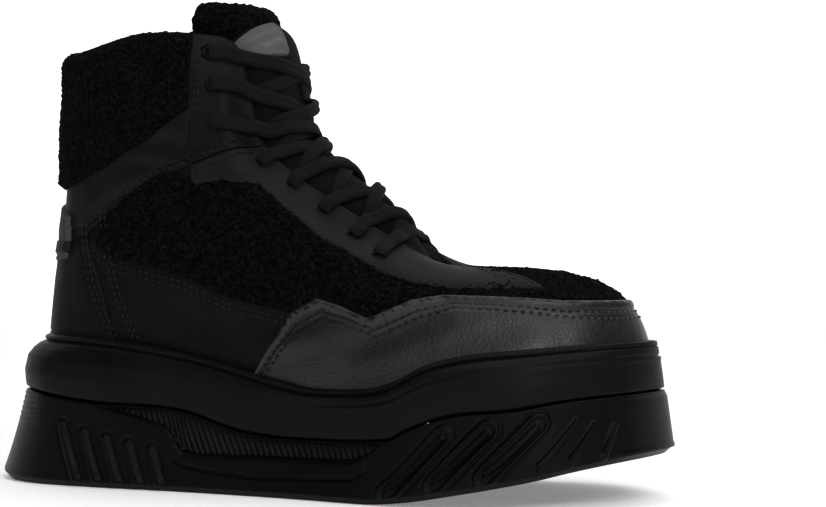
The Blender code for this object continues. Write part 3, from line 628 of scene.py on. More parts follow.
def stitchRow(work, points):
    # points: places and outward directions along a seam, closely spaced; one small capsule for each stitch
    run = 0.0
    due = 0.0
    for (p, n), (q, m) in zip(points, points[1:]):
        step = (q - p).length
        if step < 1e-7:
            continue
        while due <= run + step:
            t = (due - run) / step
            middle = p.lerp(q, t)
            up = n.lerp(m, t).normalized()
            way = (q - p).normalized()
            side = way.cross(up).normalized()
            made = bmesh.ops.create_icosphere(work, subdivisions=1, radius=stitchSize["radius"])["verts"]
            for vert in made:
                share = vert.co.x / stitchSize["radius"]
                shift = way * share * stitchSize["long"] / 2
                vert.co = middle + shift + side * vert.co.y + up * (vert.co.z * 0.8 + stitchSize["proud"])
            due += stitchSize["pitch"]
        run += step


def stitchPiece(name, rows):
    work = bmesh.new()
    for row in rows:
        stitchRow(work, row)
    return finishPiece(name, work, thread)


def offRow(us, level, height):
    # places along a seam on the upper from a level for each u
    row = []
    for u in us:
        v = level(u)
        row.append((upperOff(u, v, height), upperNormal(u, v)))
    return row


def steps(first, final, count):
    return [first + (final - first) * k / count for k in range(count + 1)]


def lower(u, v, distance):
    # the level that lies a distance under v on the upper
    rate = (upperPoint(u, v) - upperPoint(u, v - 0.01)).length / 0.01
    return v - distance / rate


def seamUnder(us, edge, distance, height):
    # a seam a distance under an edge line; a negative distance lies over it
    return offRow(us, lambda u: lower(u, edge(u), distance), height)


# a panel's edge: width of the round, how far it sinks in, and metres of rim for one unit of u
edgeRoll = {"soft": 0.0012, "sink": 0.0005, "arc": 0.30}


def panel(name, span, low, high, nx, ny, lift, material, extra=None):
    # a leather or fleece piece lying on the upper, with rolled edges; span is a pair, or a pair for each row
    lengths = {}

    def place(a, b):
        begin, finish = span(b) if callable(span) else span
        q = begin + (finish - begin) * a
        u = turned(q)
        key = round(u, 5)
        if key not in lengths:
            lo = low(u)
            hi = max(high(u), lo + 0.004)
            run = 0.0
            back = upperPoint(u, lo)
            for k in range(1, 7):
                here = upperPoint(u, lo + (hi - lo) * k / 6)
                run += (here - back).length
                back = here
            lengths[key] = (lo, hi, max(run, 0.0005))
        lo, hi, run = lengths[key]
        t = edgeStep(b, run, fineRows, ny)
        v = lo + (hi - lo) * t
        toLow = t * run
        toHigh = (1 - t) * run
        near = min(toLow, toHigh, abs(q - begin) * edgeRoll["arc"], abs(finish - q) * edgeRoll["arc"])
        share = min(1.0, near / edgeRoll["soft"])
        height = -edgeRoll["sink"] + (lift + edgeRoll["sink"]) * rolled(share)
        spot = upperPoint(u, v)
        if extra:
            height += extra(spot, u, v, toLow, toHigh, near) * share
        height += creased(spot)
        return spot + upperNormal(u, v) * height

    piece = warpGrid(name, nx, ny, place, material)
    faceOut(piece, fromShoe)
    return piece


# panel lines in the side view: x share of the last, height share of the shaft
toeLine = sideLine([(0.400, -0.30), (0.433, -0.186), (0.437, -0.120), (0.466, -0.024), (0.506, 0.085),
                    (0.550, 0.129), (0.591, 0.104), (0.635, 0.065), (0.692, 0.115), (0.736, 0.127),
                    (0.794, 0.122), (0.899, 0.112), (1.04, 0.112)])
quarterLine = sideLine([(-0.1, 0.36), (0.109, 0.331), (0.171, 0.253), (0.300, 0.197), (0.398, 0.118),
                        (0.501, 0.079), (0.56, 0.06), (1.04, 0.06)])
ankleBack = [(-0.1, 0.30), (0.109, 0.331), (0.144, 0.373), (0.204, 0.463), (0.269, 0.528)]
ankleFront = [(0.327, 0.564), (0.368, 0.593), (0.426, 0.627), (0.468, 0.644), (0.60, 1.0)]
ankleLine = sideLine(ankleBack + [(0.29, 0.531)] + ankleFront)
stayLine = sideLine([(0.269, 0.524), (0.290, 0.520), (0.302, 0.504), (0.331, 0.490), (0.379, 0.500),
                     (0.428, 0.480), (0.476, 0.400), (0.542, 0.300), (0.635, 0.200), (0.681, 0.165),
                     (0.740, 0.145)])
stayTop = sideLine([(0.250, 0.53), (0.290, 0.534)] + ankleFront)
cuffLine = sideLine([(-0.1, 0.470), (0.069, 0.487), (0.156, 0.548), (0.278, 0.690), (0.320, 0.75)])
fleeceTop = sideLine(ankleBack + [(0.290, 0.523), (0.302, 0.507), (0.331, 0.495), (0.379, 0.503),
                                  (0.428, 0.483), (0.476, 0.403), (0.542, 0.303), (0.635, 0.203),
                                  (0.681, 0.168), (0.740, 0.148)])


# levels of the panel edges at u
def toeTop(u):
    return lineLevel(u, toeLine, 0.0, 0.7)


def quarterTop(u):
    return lineLevel(u, quarterLine, 0.0, 0.9)


def cuffEdge(u):
    return lineLevel(u, cuffLine, 0.1, 0.97)


def stayLow(u):
    return lineLevel(u, stayLine, 0.2, 0.97)


def ankleEdge(u):
    return lineLevel(u, ankleLine, 0.1, 0.9)


def ankleHigh(u):
    return lineLevel(u, ankleLine, 0.1, 0.985)


def lipLevel(u, sink):
    # the level at the sole's lip, less a depth in metres
    v = upperLevel(u, lip(upperPoint(u, 0).x, u))
    return upperLevel(u, lip(upperPoint(u, v).x, u) - sink)


def underLip(u):
    return lipLevel(u, 0.003)


upperShell = {"columns": 260, "rows": 90}


def buildShell():
    def place(a, b):
        u = turned(2 * a)
        spot = upperPoint(u, b)
        return spot + upperNormal(u, b) * creased(spot) * ramp(b, 1.0, 0.985)

    piece = warpGrid("upper_shell", upperShell["columns"], upperShell["rows"], place, quarterLeather, True)
    faceOut(piece, fromShoe)
    wall = piece.modifiers.new("wall", "SOLIDIFY")
    wall.thickness = last["wall"]
    wall.offset = -1
    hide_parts("upper")


# start of the guard at the side, width and height of its rolled top band, depths of the lines under it
toeGuard = {"start": 0.41, "band": 0.0046, "roll": 0.0010, "groove": 0.0005, "line": 0.0003, "soft": 0.0007}


def buildToeGuard():
    band = toeGuard["band"]

    def extra(spot, u, v, toLow, toHigh, near):
        ridge = toeGuard["roll"] * bump(toHigh, band * 0.5, band * 0.62)
        groove = toeGuard["groove"] * bump(toHigh, band * 1.12, 0.0007)
        line = toeGuard["line"] * bump(toHigh, band * 1.75, 0.0006)
        return ridge - groove - line + toeGuard["soft"] * noise.noise(spot * 45)

    piece = panel("toe_guard_leather", (toeGuard["start"], 2 - toeGuard["start"]), underLip, toeTop, 420, 46,
                  0.0018, toeLeather, extra)
    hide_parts("toe_guard")


# start in u, height and tufts; v of the top along the throat and the u between which it rises to that
fleeceSide = {"start": 0.178, "lift": 0.0012, "tuft": 0.0020, "depth": 0.0012, "throat": 0.975, "from": 0.78,
              "to": 0.86}


def buildFleeceSide():
    def low(u):
        return max(quarterTop(u), toeTop(u) - 0.01)

    def high(u):
        if abs(u) > fleeceSide["to"]:
            return fleeceSide["throat"]
        top = lineLevel(u, fleeceTop, 0.1, 0.97)
        return top + (fleeceSide["throat"] - top) * ramp(abs(u), fleeceSide["from"], fleeceSide["to"]) + 0.012

    def extra(spot, u, v, toLow, toHigh, near):
        return tufts(spot, fleeceSide["tuft"], fleeceSide["depth"])

    piece = panel("side_fleece", (fleeceSide["start"], 2 - fleeceSide["start"]), low, high, 760, 110,
                  fleeceSide["lift"], fleece, extra)


# reach to each side in u at the foot and how much it leans in, swell low at the back, groove at the edge
counter = {"reach": 0.212, "lean": 0.062, "swell": 0.0024, "groove": 0.0004}


def buildCounter():
    def span(b):
        reach = counter["reach"] - counter["lean"] * b
        return -reach, reach

    def extra(spot, u, v, toLow, toHigh, near):
        swell = counter["swell"] * ramp(0.12 - abs(u), 0.0, 0.10) * (1 - ramp(v, 0.30, 0.62))
        return swell - counter["groove"] * bump(near, 0.0042, 0.0008)

    piece = panel("heel_counter_leather", span, underLip, lambda u: ankleEdge(u) + 0.02, 200, 60, 0.0010,
                  quarterLeather, extra)


cuff = {"reach": 0.575, "top": 0.992, "soft": 0.0005, "groove": 0.0004}


def buildCuffPanel():
    def high(u):
        return cuffEdge(u) + 0.03 if abs(u) < 0.35 else cuff["top"]

    def extra(spot, u, v, toLow, toHigh, near):
        return cuff["soft"] * noise.noise(spot * 70) - cuff["groove"] * bump(toLow, 0.0035, 0.0007)

    span = (-cuff["reach"], cuff["reach"])
    piece = panel("cuff_leather", span, ankleHigh, high, 420, 50, 0.0011, cuffLeather, extra)


# ends of the eyestay in u and its level along the throat
stay = {"from": 0.350, "to": 0.875, "top": 0.992, "soft": 0.0004, "groove": 0.0004}


def buildStay(side):
    def extra(spot, u, v, toLow, toHigh, near):
        return stay["soft"] * noise.noise(spot * 80) - stay["groove"] * bump(near, 0.0030, 0.0007)

    def high(u):
        return lineLevel(u, stayTop, 0.2, stay["top"]) if abs(u) < 0.60 else stay["top"]

    begin, finish = sorted((side * stay["from"], side * stay["to"]))
    piece = panel("eyestay_leather_" + ("outer" if side < 0 else "inner"), (begin, finish), stayLow, high,
                  220, 40, 0.0019, stayLeather, extra)
    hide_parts("eyestay_outer" if side < 0 else "eyestay_inner")


heelPatch = {"reach": 0.118, "low": 0.235, "high": 0.455, "bandLow": 0.262, "bandHigh": 0.322}


def buildHeelPatch():
    def edge(share, drop):
        def level(u):
            z = sole["height"] + share * last["rise"]
            return upperLevel(u, z - drop * (u / heelPatch["reach"]) ** 2)
        return level

    def groove(spot, u, v, toLow, toHigh, near):
        return -0.0004 * bump(near, 0.0024, 0.0006)

    reach = heelPatch["reach"]
    piece = panel("heel_patch_leather", (-reach, reach), edge(heelPatch["low"], -0.002),
                  edge(heelPatch["high"], 0.007), 110, 44, 0.0029, patchLeather, groove)
    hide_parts("heel_patch")
    band = panel("heel_patch_band", (-reach * 1.01, reach * 1.01), edge(heelPatch["bandLow"], -0.001),
                 edge(heelPatch["bandHigh"], 0.001), 110, 20, 0.0036, bandLeather)


# reach in u, height of the fleece outside and inside, its tufts, swell at the back and height of the roll
collar = {"reach": 0.352, "lift": 0.0030, "inner": 0.0075, "tuft": 0.0022, "depth": 0.0013, "bulge": 0.0022,
          "roll": 0.0050, "hem": 0.003, "end": 0.0025, "sink": 0.0006}
# shares of the rows where the outer face and the roll over the rim end, and v where the fleece ends inside
collarRows = {"face": 0.55, "roll": 0.78, "inside": 0.72}


def buildCollar():
    face = collarRows["face"]
    over = collarRows["roll"]

    def curls(spot):
        return tufts(spot, collar["tuft"], collar["depth"])

    def place(a, b):
        u = collar["reach"] * (2 * a - 1)
        bottom = cuffEdge(u)
        top = rimDistance(u, collar["roll"])
        swell = rolled((collar["reach"] - abs(u)) * edgeRoll["arc"] / collar["end"])
        if b < face:
            t = b / face
            v = bottom + (top - bottom) * t
            run = (upperPoint(u, v) - upperPoint(u, bottom)).length
            rise = rolled(run / collar["hem"])
            bulge = collar["bulge"] * bump(t, 0.40, 0.75) * (0.5 + 0.5 * ramp(0.22 - abs(u), 0.0, 0.15))
            lift = -collar["sink"] + (collar["lift"] + collar["sink"] + bulge) * rise * swell
            spot = upperPoint(u, v)
            lift += curls(spot) * rise * swell
            return spot + upperNormal(u, v) * lift
        away = upperNormal(u, top)
        base = upperPoint(u, top)
        up = (upperPoint(u, 1) - base).normalized()
        thick = collar["lift"] * swell + collar["inner"]
        if b < over:
            angle = pi * (b - face) / (over - face)
            middle = base + away * (collar["lift"] * swell - thick / 2)
            spot = middle + away * (thick / 2 * cos(angle)) + up * (collar["roll"] + 0.0010) * sin(angle)
            lean = (away * cos(angle) + up * sin(angle)).normalized()
            return spot + lean * curls(spot)
        v = top - (top - collarRows["inside"]) * (b - over) / (1 - over)
        spot = upperPoint(u, v)
        return spot - upperNormal(u, v) * (collar["inner"] + curls(spot))

    piece = warpGrid("collar_fleece", 300, 120, place, fleece)
    faceOut(piece, fromShoe)


lining = {"reach": 0.415, "low": 0.35, "tall": 0.64, "gap": 0.0030, "swell": 0.0045}


def buildLining():
    def place(a, b):
        u = lining["reach"] * (2 * a - 1)
        v = lining["low"] + lining["tall"] * b
        spot = upperPoint(u, v)
        ends = 1 - 0.5 * ramp(abs(u), 0.36, lining["reach"])
        gap = lining["gap"] + lining["swell"] * ramp(b, 0.0, 0.25) * ends
        return spot - upperNormal(u, v) * (gap + tufts(spot, 0.0026, 0.0010))

    piece = warpGrid("collar_lining_fleece", 240, 90, place, fleece)
    faceOut(piece, lambda p: -fromShoe(p))
    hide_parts("collar_lining")


buildShell()
buildToeGuard()
buildFleeceSide()
buildCounter()
buildCuffPanel()
buildStay(-1)
buildStay(1)
buildHeelPatch()
buildCollar()
buildLining()
print("upper ready")


# sole
def flare(u, away, share):
    back = max(0.0, -away.x) ** 1.5
    front = max(0.0, away.x) ** 1.5
    return share * (sole["flare"] * back + sole["toeFlare"] * front + sole["sideFlare"] * (1 - back - front))


def soleEdge(u, z, inset):
    place, away = along(soleHalves, u)
    top = seam(place.x, u)
    share = min(1.0, max(0.0, (z - ground(place.x)) / (top - ground(place.x))))
    spot = place - away * (flare(u, away, share) + inset)
    return Vector((spot.x, spot.y, z))


# height share from seam to lip, share of the way to the lip's outline, swell in metres
midsoleProfile = [(0.000, 0.00, -0.0030), (0.015, 0.00, -0.0010), (0.05, 0.00, 0.0002),
                  (0.12, 0.00, 0.0006), (0.35, 0.03, 0.0013), (0.62, 0.20, 0.0016), (0.76, 0.45, 0.0013),
                  (0.84, 0.68, 0.0008), (0.875, 0.82, -0.0001), (0.893, 0.87, -0.0006),
                  (0.912, 0.90, 0.0002), (0.945, 0.96, 0.0008), (0.975, 1.00, 0.0004),
                  (1.000, 1.03, -0.0012), (1.001, 1.0, -0.0034), (0.96, 1.0, -0.0038)]
bevel = {"from": 0.52, "height": 0.70, "deep": 0.0009}


def buildMidsole():
    count = len(midsoleProfile)

    def rail(u):
        place, away = along(soleHalves, u)
        front = max(0.0, away.x) ** 1.5
        ledge = sole["lip"] + (sole["toeLip"] - sole["lip"]) * front
        level = upperLevel(u, lip(place.x, u))
        for turn in range(2):
            edge = upperOff(u, level, ledge)
            level = upperLevel(u, lip(edge.x, u))
        edge = upperOff(u, level, ledge)
        return place, away, edge, lip(edge.x, u), seam(place.x, u), front

    rails = {}

    def place(a, b):
        u = turned(2 * a)
        key = round(u, 5)
        if key not in rails:
            rails[key] = rail(u)
        spot, away, edge, top, bottom, front = rails[key]
        j = b * 60
        i = min(int(j / 4), count - 2)
        t = j / 4 - i
        share, inward, swell = (midsoleProfile[i][c] + (midsoleProfile[i + 1][c] - midsoleProfile[i][c]) * t
                                for c in range(3))
        if share < 1:
            inward += max(0.0, share ** 1.2 - inward) * front
        if swell > 0:
            swell *= 1 - front
        # the second line that runs round the toe under the ledge
        line = ramp(soleShare(spot.x), bevel["from"], bevel["from"] + 0.10)
        swell -= bevel["deep"] * line * bump(share, bevel["height"], 0.035)
        swell += bevel["deep"] * 0.5 * line * bump(share, bevel["height"] - 0.05, 0.05)
        z = bottom + (top - bottom) * share
        outer = spot - away * flare(u, away, 1.0)
        mixed = Vector((outer.x, outer.y, z)).lerp(Vector((edge.x, edge.y, z)), min(1.0, inward))
        return mixed + Vector((away.x, away.y, 0)) * (swell + 0.0002)

    piece = warpGrid("midsole_foam", 700, 60, place, foamMould, joined=True)
    faceOut(piece, lambda p: Vector((p.x - 0.1, p.y, 0)))
    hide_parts("midsole")


def windowAt(x, u):
    rows = windowOuter if u < 0 else windowInner
    share = soleShare(x)
    if u == 0 or share <= rows[0][0] or share >= rows[-1][0]:
        return None, 0.0
    ends = min((share - rows[0][0]) / 0.03, (rows[-1][0] - share) / 0.008, 1.0)
    return straight(rows, share) * sole["height"], sole["window"] * max(0.0, ends)


# ridges on the tread's side: x share and height share at the lower and upper end
heelRidges = [(0.182 + 0.033 * k, 0.10, 0.155 + 0.0365 * k, 0.70 - 0.052 * k) for k in range(5)]
toeLoops = [(0.664 + 0.066 * k, 0.18, 0.738 + 0.0605 * k, 0.76) for k in range(3)]
toeRibs = [(0.860 + 0.034 * k, 0.14, 0.903 + 0.018 * k, 0.74 - 0.08 * k) for k in range(3)]
# line under the ribbed window: x share of the sole, height share of the sole
barLine = [(0.335, 0.215), (0.345, 0.189), (0.379, 0.161), (0.462, 0.130), (0.563, 0.147), (0.611, 0.160),
           (0.632, 0.215)]
relief = {"ridge": 0.0019, "ridgeHigh": 0.0014, "rib": 0.0026, "ribHigh": 0.0009, "loop": 0.0034,
          "loopWide": 0.0011, "loopHigh": 0.0010, "toeRib": 0.0012, "toeRibHigh": 0.0008, "groove": 0.0005}


def treadRelief(x, z, u, low, top):
    share = soleShare(x)
    tall = top - low
    rise = (z - low) / max(0.001, tall)
    length = sole["length"]
    height = 0.0
    edge, deep = windowAt(x, u)
    side = ramp(abs(u), 0.10, 0.15)
    if edge is not None:
        inside = ramp(z, edge + 0.0006, edge + 0.0014) * (1 - ramp(z, top - 0.0022, top - 0.0012))
        height -= deep * ramp(z, edge, edge + 0.0009) * (1 - ramp(z, top - 0.0016, top - 0.0006))
        phase = (x + (z - edge) * 0.45) / relief["rib"]
        wave = abs((phase % 1.0) - 0.5) * 2
        rib = (ramp(wave, 0.2, 0.75) - 0.4) * ramp(deep, 0.0, sole["window"] * 0.5)
        height += inside * relief["ribHigh"] * rib
        if barLine[0][0] < share < barLine[-1][0]:
            under = straight(barLine, share) * sole["height"]
            height += 0.0007 * ramp(z, under, under + 0.0007) * (1 - ramp(z, edge - 0.0008, edge - 0.0001))
            height -= relief["groove"] * bump(z, under - 0.0006, 0.0009)
    for x0, h0, x1, h1 in heelRidges:
        if abs(share - (x0 + x1) / 2) > 0.05:
            continue
        t = min(1.0, max(0.0, (rise - h0) / (h1 - h0)))
        middle = x0 + (x1 - x0) * t ** 0.85
        across = (share - middle) * length * 0.93
        past = max(0.0, rise - h1, h0 - rise) * tall
        reach = sqrt(across * across + past * past)
        width = relief["ridge"] * (0.85 + 0.3 * (1 - t))
        ridge = ramp(width - reach, 0.0, 0.0011) - 0.25 * bump(reach, width + 0.0009, 0.0009)
        height += side * relief["ridgeHigh"] * ridge
    for x0, h0, x1, h1 in toeRibs:
        reach = onSegment(share * length, rise * tall, x0 * length, h0 * tall, x1 * length, h1 * tall)[0]
        if reach < 0.004:
            height += relief["toeRibHigh"] * ramp(relief["toeRib"] - reach, 0.0, 0.0008)
    for x0, h0, x1, h1 in toeLoops:
        reach = onSegment(share * length, rise * tall, x0 * length, h0 * tall, x1 * length, h1 * tall)[0]
        if reach < 0.006:
            away = abs(reach - relief["loop"])
            height += relief["loopHigh"] * ramp(relief["loopWide"] - away, 0.0, 0.0008)
            height -= relief["groove"] * bump(reach, relief["loop"] + relief["loopWide"] + 0.0004, 0.0007)
            height += 0.0006 * ramp(0.0011 - reach, 0.0, 0.0008)
    if share < 0.11 and rise > 0.62:
        wave = abs(((z / 0.0021) % 1.0) - 0.5) * 2
        height += 0.0005 * (wave - 0.5) * ramp(rise, 0.62, 0.68) * (1 - ramp(share, 0.08, 0.11))
    # bumper round the toe, smooth, with a rolled edge at its foot
    height += 0.0006 * ramp(share, 0.930, 0.945) * ramp(rise, 0.10, 0.16) * (1 - ramp(rise, 0.90, 0.96))
    height += 0.0008 * ramp(share, 0.935, 0.955) * bump(rise, 0.10, 0.09)
    return height


# the rows up to "foot" turn in at the ground and those past "top" under the midsole, by these insets
treadSkin = {"columns": 1300, "rows": 64, "proud": 0.00035, "foot": 0.06, "top": 0.96, "footTall": 0.0024,
             "footInset": 0.0030, "topInset": 0.0034, "gap": 0.0003}


def buildTread():
    foot = treadSkin["foot"]
    end = treadSkin["top"]

    def place(a, b):
        u = turned(2 * a)
        x = along(soleHalves, u)[0].x
        low = ground(x)
        top = seam(x, u)
        start = low + treadSkin["footTall"]
        share = max(0.0, (b - end) / (1 - end))
        inset = treadSkin["topInset"] * share
        z = start + (top - treadSkin["gap"] - start) * min(1.0, (b - foot) / (end - foot))
        if b < foot:
            inset = treadSkin["footInset"] * (1 - b / foot)
            z = low + treadSkin["footTall"] * b / foot
        rise = 0.0 if b < foot else treadRelief(x, z, u, low, top) * (1 - share)
        return soleEdge(u, z, inset - rise - treadSkin["proud"])

    piece = warpGrid("tread_side_rubber", treadSkin["columns"], treadSkin["rows"], place, treadRubber, True)
    faceOut(piece, lambda p: Vector((p.x - 0.1, p.y, 0)))
    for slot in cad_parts["outsole"].material_slots:
        slot.material = treadRubber
    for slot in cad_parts["insole"].material_slots:
        slot.material = insoleFelt


buildMidsole()
buildTread()
print("sole ready")


# the open throat, tongue and laces
def rimAcross(u, toward):
    way = upperPoint(u + 0.003, 1) - upperPoint(u - 0.003, 1)
    across = way.cross(upperNormal(u, 0.995)).normalized()
    return across if across.dot(toward) > 0 else -across


instepCache = {}


def instepEnds(s):
    key = round(s, 5)
    if key not in instepCache:
        left = upperPoint(-s, 1)
        right = upperPoint(s, 1)
        gap = right - left
        a = left + rimAcross(-s, gap) * gap.length * 0.36
        b = right + rimAcross(s, -gap) * gap.length * 0.36
        instepCache[key] = (left, a, b, right, rimDistance(-s, 0.012), rimDistance(s, 0.012))
    return instepCache[key]


def instep(s, w):
    left, a, b, right, reachLeft, reachRight = instepEnds(s)
    if abs(w) > 0.5:
        share = (abs(w) - 0.5) / 0.5
        if w > 0:
            return upperPoint(s, 1 - (1 - reachRight) * share)
        return upperPoint(-s, 1 - (1 - reachLeft) * share)
    t = w + 0.5
    return left * (1 - t) ** 3 + a * 3 * (1 - t) ** 2 * t + b * 3 * (1 - t) * t * t + right * t ** 3


def instepOff(s, w, gap):
    here = instep(s, w)
    across = instep(s, min(1, w + 0.02)) - instep(s, max(-1, w - 0.02))
    down = instep(s + 0.006, w) - instep(s - 0.006, w)
    away = across.cross(down).normalized()
    if away.x + away.z < 0:
        away = -away
    return here + away * gap


# the tongue's top edge seen from above: w, x share of the last, y share of the ball
topRows = [(-1.0, 0.285, -0.165), (-0.7, 0.318, -0.185), (-0.45, 0.343, -0.150), (-0.2, 0.357, -0.065),
           (0.05, 0.361, 0.030), (0.3, 0.355, 0.115), (0.55, 0.337, 0.180), (0.8, 0.310, 0.212),
           (1.0, 0.285, 0.200)]
tongue = {"end": 0.87, "bend": 0.50, "share": 0.60, "top": 0.1732, "gap": 0.0036, "thick": 0.0030,
          "roll": 0.0110, "tall": 0.0170, "middle": 0.1819, "puff": 0.0042, "climb": 0.15, "leave": 0.40}


def topLine(w, z):
    x, y = blend(topRows, w)
    return Vector((x * last["length"] - last["back"], y * last["ball"], z))


def tonguePlace(a, w, extra):
    # a runs from the lower end, 0, to the top edge, 1; the padding puffs up between the throat's two sides
    bend = tongue["share"]
    puff = tongue["puff"] * max(0.0, 1 - (w / 0.55) ** 2) * ramp(a, 0.0, 0.12)
    lift = extra - tongue["gap"] + puff
    if a <= bend:
        s = tongue["end"] + (tongue["bend"] - tongue["end"]) * a / bend
        return instepOff(s, w, lift)
    t = (a - bend) / (1 - bend)
    close = instepOff(tongue["bend"] - tongue["climb"] * t, w, lift)
    start = instepOff(tongue["bend"], w, lift)
    before = instepOff(tongue["bend"] + 0.03, w, lift)
    end = topLine(w, tongue["top"])
    end += (end - topLine(0, tongue["top"]) + Vector((0.02, 0, 0))).normalized() * extra
    pull = (start - before).normalized() * (end - start).length * 0.35
    turn = Vector((0.0, 0, -(end - start).length * 0.3))
    free = (start * (1 - t) ** 3 + (start + pull) * 3 * (1 - t) ** 2 * t
            + (end + turn) * 3 * (1 - t) * t * t + end * t ** 3)
    return close.lerp(free, ramp(t, tongue["leave"], 1.0))


def frontward(place):
    return Vector((1, 0, 0.5))


def buildTongue():
    def place(a, b):
        w = 2 * a - 1
        spot = tonguePlace(b, w, 0.0)
        fold = 0.0007 * noise.noise(Vector((w * 2.0, b * 7.0, 1.0)))
        return spot + Vector((0.8, 0, 0.6)) * fold

    piece = warpGrid("tongue_body", 70, 120, place, tongueCloth)
    faceOut(piece, frontward)
    wall = piece.modifiers.new("wall", "SOLIDIFY")
    wall.thickness = tongue["thick"]
    wall.offset = -1
    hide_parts("tongue")


def buildRoll():
    # the fleece roll along the tongue's top edge
    middle = tongue["middle"]

    def place(a, b):
        w = -1 + 2 * a
        here = topLine(w, middle)
        way = (topLine(min(1, w + 0.02), middle) - topLine(max(-1, w - 0.02), middle)).normalized()
        out = way.cross(Vector((0, 0, 1)))
        size = rolled((1 - abs(w)) / 0.10) * 0.97 + 0.03
        angle = 2 * pi * b
        lean = out * cos(angle) * tongue["roll"] + Vector((0, 0, 1)) * sin(angle) * tongue["tall"]
        lean *= size / 2
        spot = here + lean
        return spot + lean.normalized() * tufts(spot, 0.0026, 0.0013) * size

    piece = warpGrid("tongue_fleece_roll", 220, 90, place, fleece, joined=True)
    faceOut(piece, lambda p: p - topLine(0, middle) if p.x > 0.07 else Vector((0, p.y, 0)))
    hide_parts("tongue_cuff")


def patchOnTongue(name, low, high, left, right, thick, corner, material, extra=None):
    # a flat woven piece on the tongue's face with rounded corners
    wide = (tonguePlace((low + high) / 2, right, 0) - tonguePlace((low + high) / 2, left, 0)).length
    tall = (tonguePlace(high, (left + right) / 2, 0) - tonguePlace(low, (left + right) / 2, 0)).length

    def place(a, b):
        # rows near a corner are drawn in along a circle
        y = b * tall
        inset = 0.0
        near = min(y, tall - y)
        if near < corner:
            inset = corner - sqrt(max(0.0, corner ** 2 - (corner - near) ** 2))
        t = (inset + (wide - 2 * inset) * a) / wide
        w = left + (right - left) * t
        edge = min(near, min(a, 1 - a) * (wide - 2 * inset))
        rise = thick * rolled(edge / 0.0007)
        if extra:
            rise += extra(edge, a, b)
        return tonguePlace(low + (high - low) * b, w, 0.0004 + rise)

    piece = warpGrid(name, 60, 44, place, material)
    faceOut(piece, frontward)
    return piece


def buildTongueTrim():
    def rim(edge, a, b):
        return 0.0005 * bump(edge, 0.0011, 0.0009)

    def ripple(edge, a, b):
        return 0.0009 * noise.noise(Vector((a * 9, b * 16, 2)))

    label = patchOnTongue("plain_label", 0.715, 0.808, -0.56, -0.08, 0.0011, 0.0022, labelCloth, rim)
    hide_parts("tongue_label")
    keeper = patchOnTongue("webbing_keeper", 0.585, 0.675, 0.02, 0.36, 0.0012, 0.0004, webbing)
    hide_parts("lace_keeper")
    flap = patchOnTongue("tongue_side_fleece", 0.66, 0.985, 0.40, 1.0, 0.0020, 0.0030, fleece, ripple)


buildTongue()
buildRoll()
buildTongueTrim()
print("tongue ready")


# lace holes on each side, top to bottom: u and v on the upper
laceHoles = [(0.385, 0.926), (0.408, 0.789), (0.418, 0.662), (0.565, 0.811),
             (0.622, 0.870), (0.656, 0.823), (0.685, 0.738), (0.700, 0.620)]
lace = {"wide": 0.0056, "thick": 0.0034, "groove": 0.34, "over": 0.0026, "stay": 0.0019, "hole": 0.0023,
        "drop": 0.0030, "end": 0.0015}
# a leg's way over the tongue and in under the far side: w, height over the throat, share of the rise on top
legRoute = [(0.44, 0.0016, 0.0), (0.22, 0.0016, 0.7), (0.0, 0.0012, 1.0), (-0.22, 0.0006, 0.4),
            (-0.42, -0.0014, 0.0), (-0.54, -0.0040, 0.0), (-0.64, -0.0050, 0.0)]
# rise of each crossing's upper leg, top to bottom, as a share
crossingRise = (0.5, 1, 1, 1, 1, 0.7, 0.7)


def rimNearest(u, v):
    # a leg from a hole on the cuff crosses the edge at about its own height, one lower down the nearest way
    hole = upperPoint(u, v)
    side = 1 if u > 0 else -1

    def level(s):
        return abs(upperPoint(side * s, 1).z - hole.z + lace["drop"])

    def distance(s):
        return (upperPoint(side * s, 1) - hole).length

    if abs(u) < 0.5:
        return min((k / 200 for k in range(60, 172)), key=level)
    return min((k / 200 for k in range(80, 172)), key=distance)


def smoothMarks(marks, count):
    # an even smooth run through given marks, each a place and an upward direction
    spots = []
    for k in range(len(marks) - 1):
        four = [marks[min(max(k + j, 0), len(marks) - 1)] for j in (-1, 0, 1, 2)]
        for step in range(12):
            t = step / 12
            row = []
            for part in (0, 1):
                a, b, c, d = (m[part] for m in four)
                square = (a * 2 - b * 5 + c * 4 - d) * t * t
                cube = (b * 3 - a - c * 3 + d) * t ** 3
                row.append((b * 2 + (c - a) * t + square + cube) / 2)
            spots.append(row)
    spots.append(list(marks[-1]))
    run = [0.0]
    for p, q in zip(spots, spots[1:]):
        run.append(run[-1] + (q[0] - p[0]).length)
    out = []
    k = 0
    for j in range(count + 1):
        goal = run[-1] * j / count
        while k < len(run) - 2 and run[k + 1] < goal:
            k += 1
        t = min(1.0, max(0.0, (goal - run[k]) / max(1e-9, run[k + 1] - run[k])))
        out.append((spots[k][0].lerp(spots[k + 1][0], t), spots[k][1].lerp(spots[k + 1][1], t).normalized()))
    return out, run[-1]


def lacePiece(name, marks):
    count = max(30, int(len(marks) * 7))
    path, length = smoothMarks(marks, count)

    def place(a, b):
        k = min(count, max(0, round(a * count)))
        spot, up = path[k]
        way = (path[min(k + 1, count)][0] - path[max(k - 1, 0)][0]).normalized()
        side = way.cross(up).normalized()
        up = side.cross(way)
        angle = 2 * pi * b
        x = cos(angle)
        y = sin(angle)
        size = rolled(min(k, count - k) * length / count / lace["end"])
        dent = 1 - lace["groove"] * exp(-(x / 0.30) ** 2)
        return spot + side * x * lace["wide"] / 2 * size + up * y * dent * lace["thick"] / 2 * size

    piece = warpGrid(name, count, 28, place, laceCloth, joined=True, scale=(length, 0.013))
    work = bmesh.new()
    work.from_mesh(piece.data)
    bmesh.ops.recalc_face_normals(work, faces=work.faces)
    work.to_mesh(piece.data)
    work.free()
    return piece


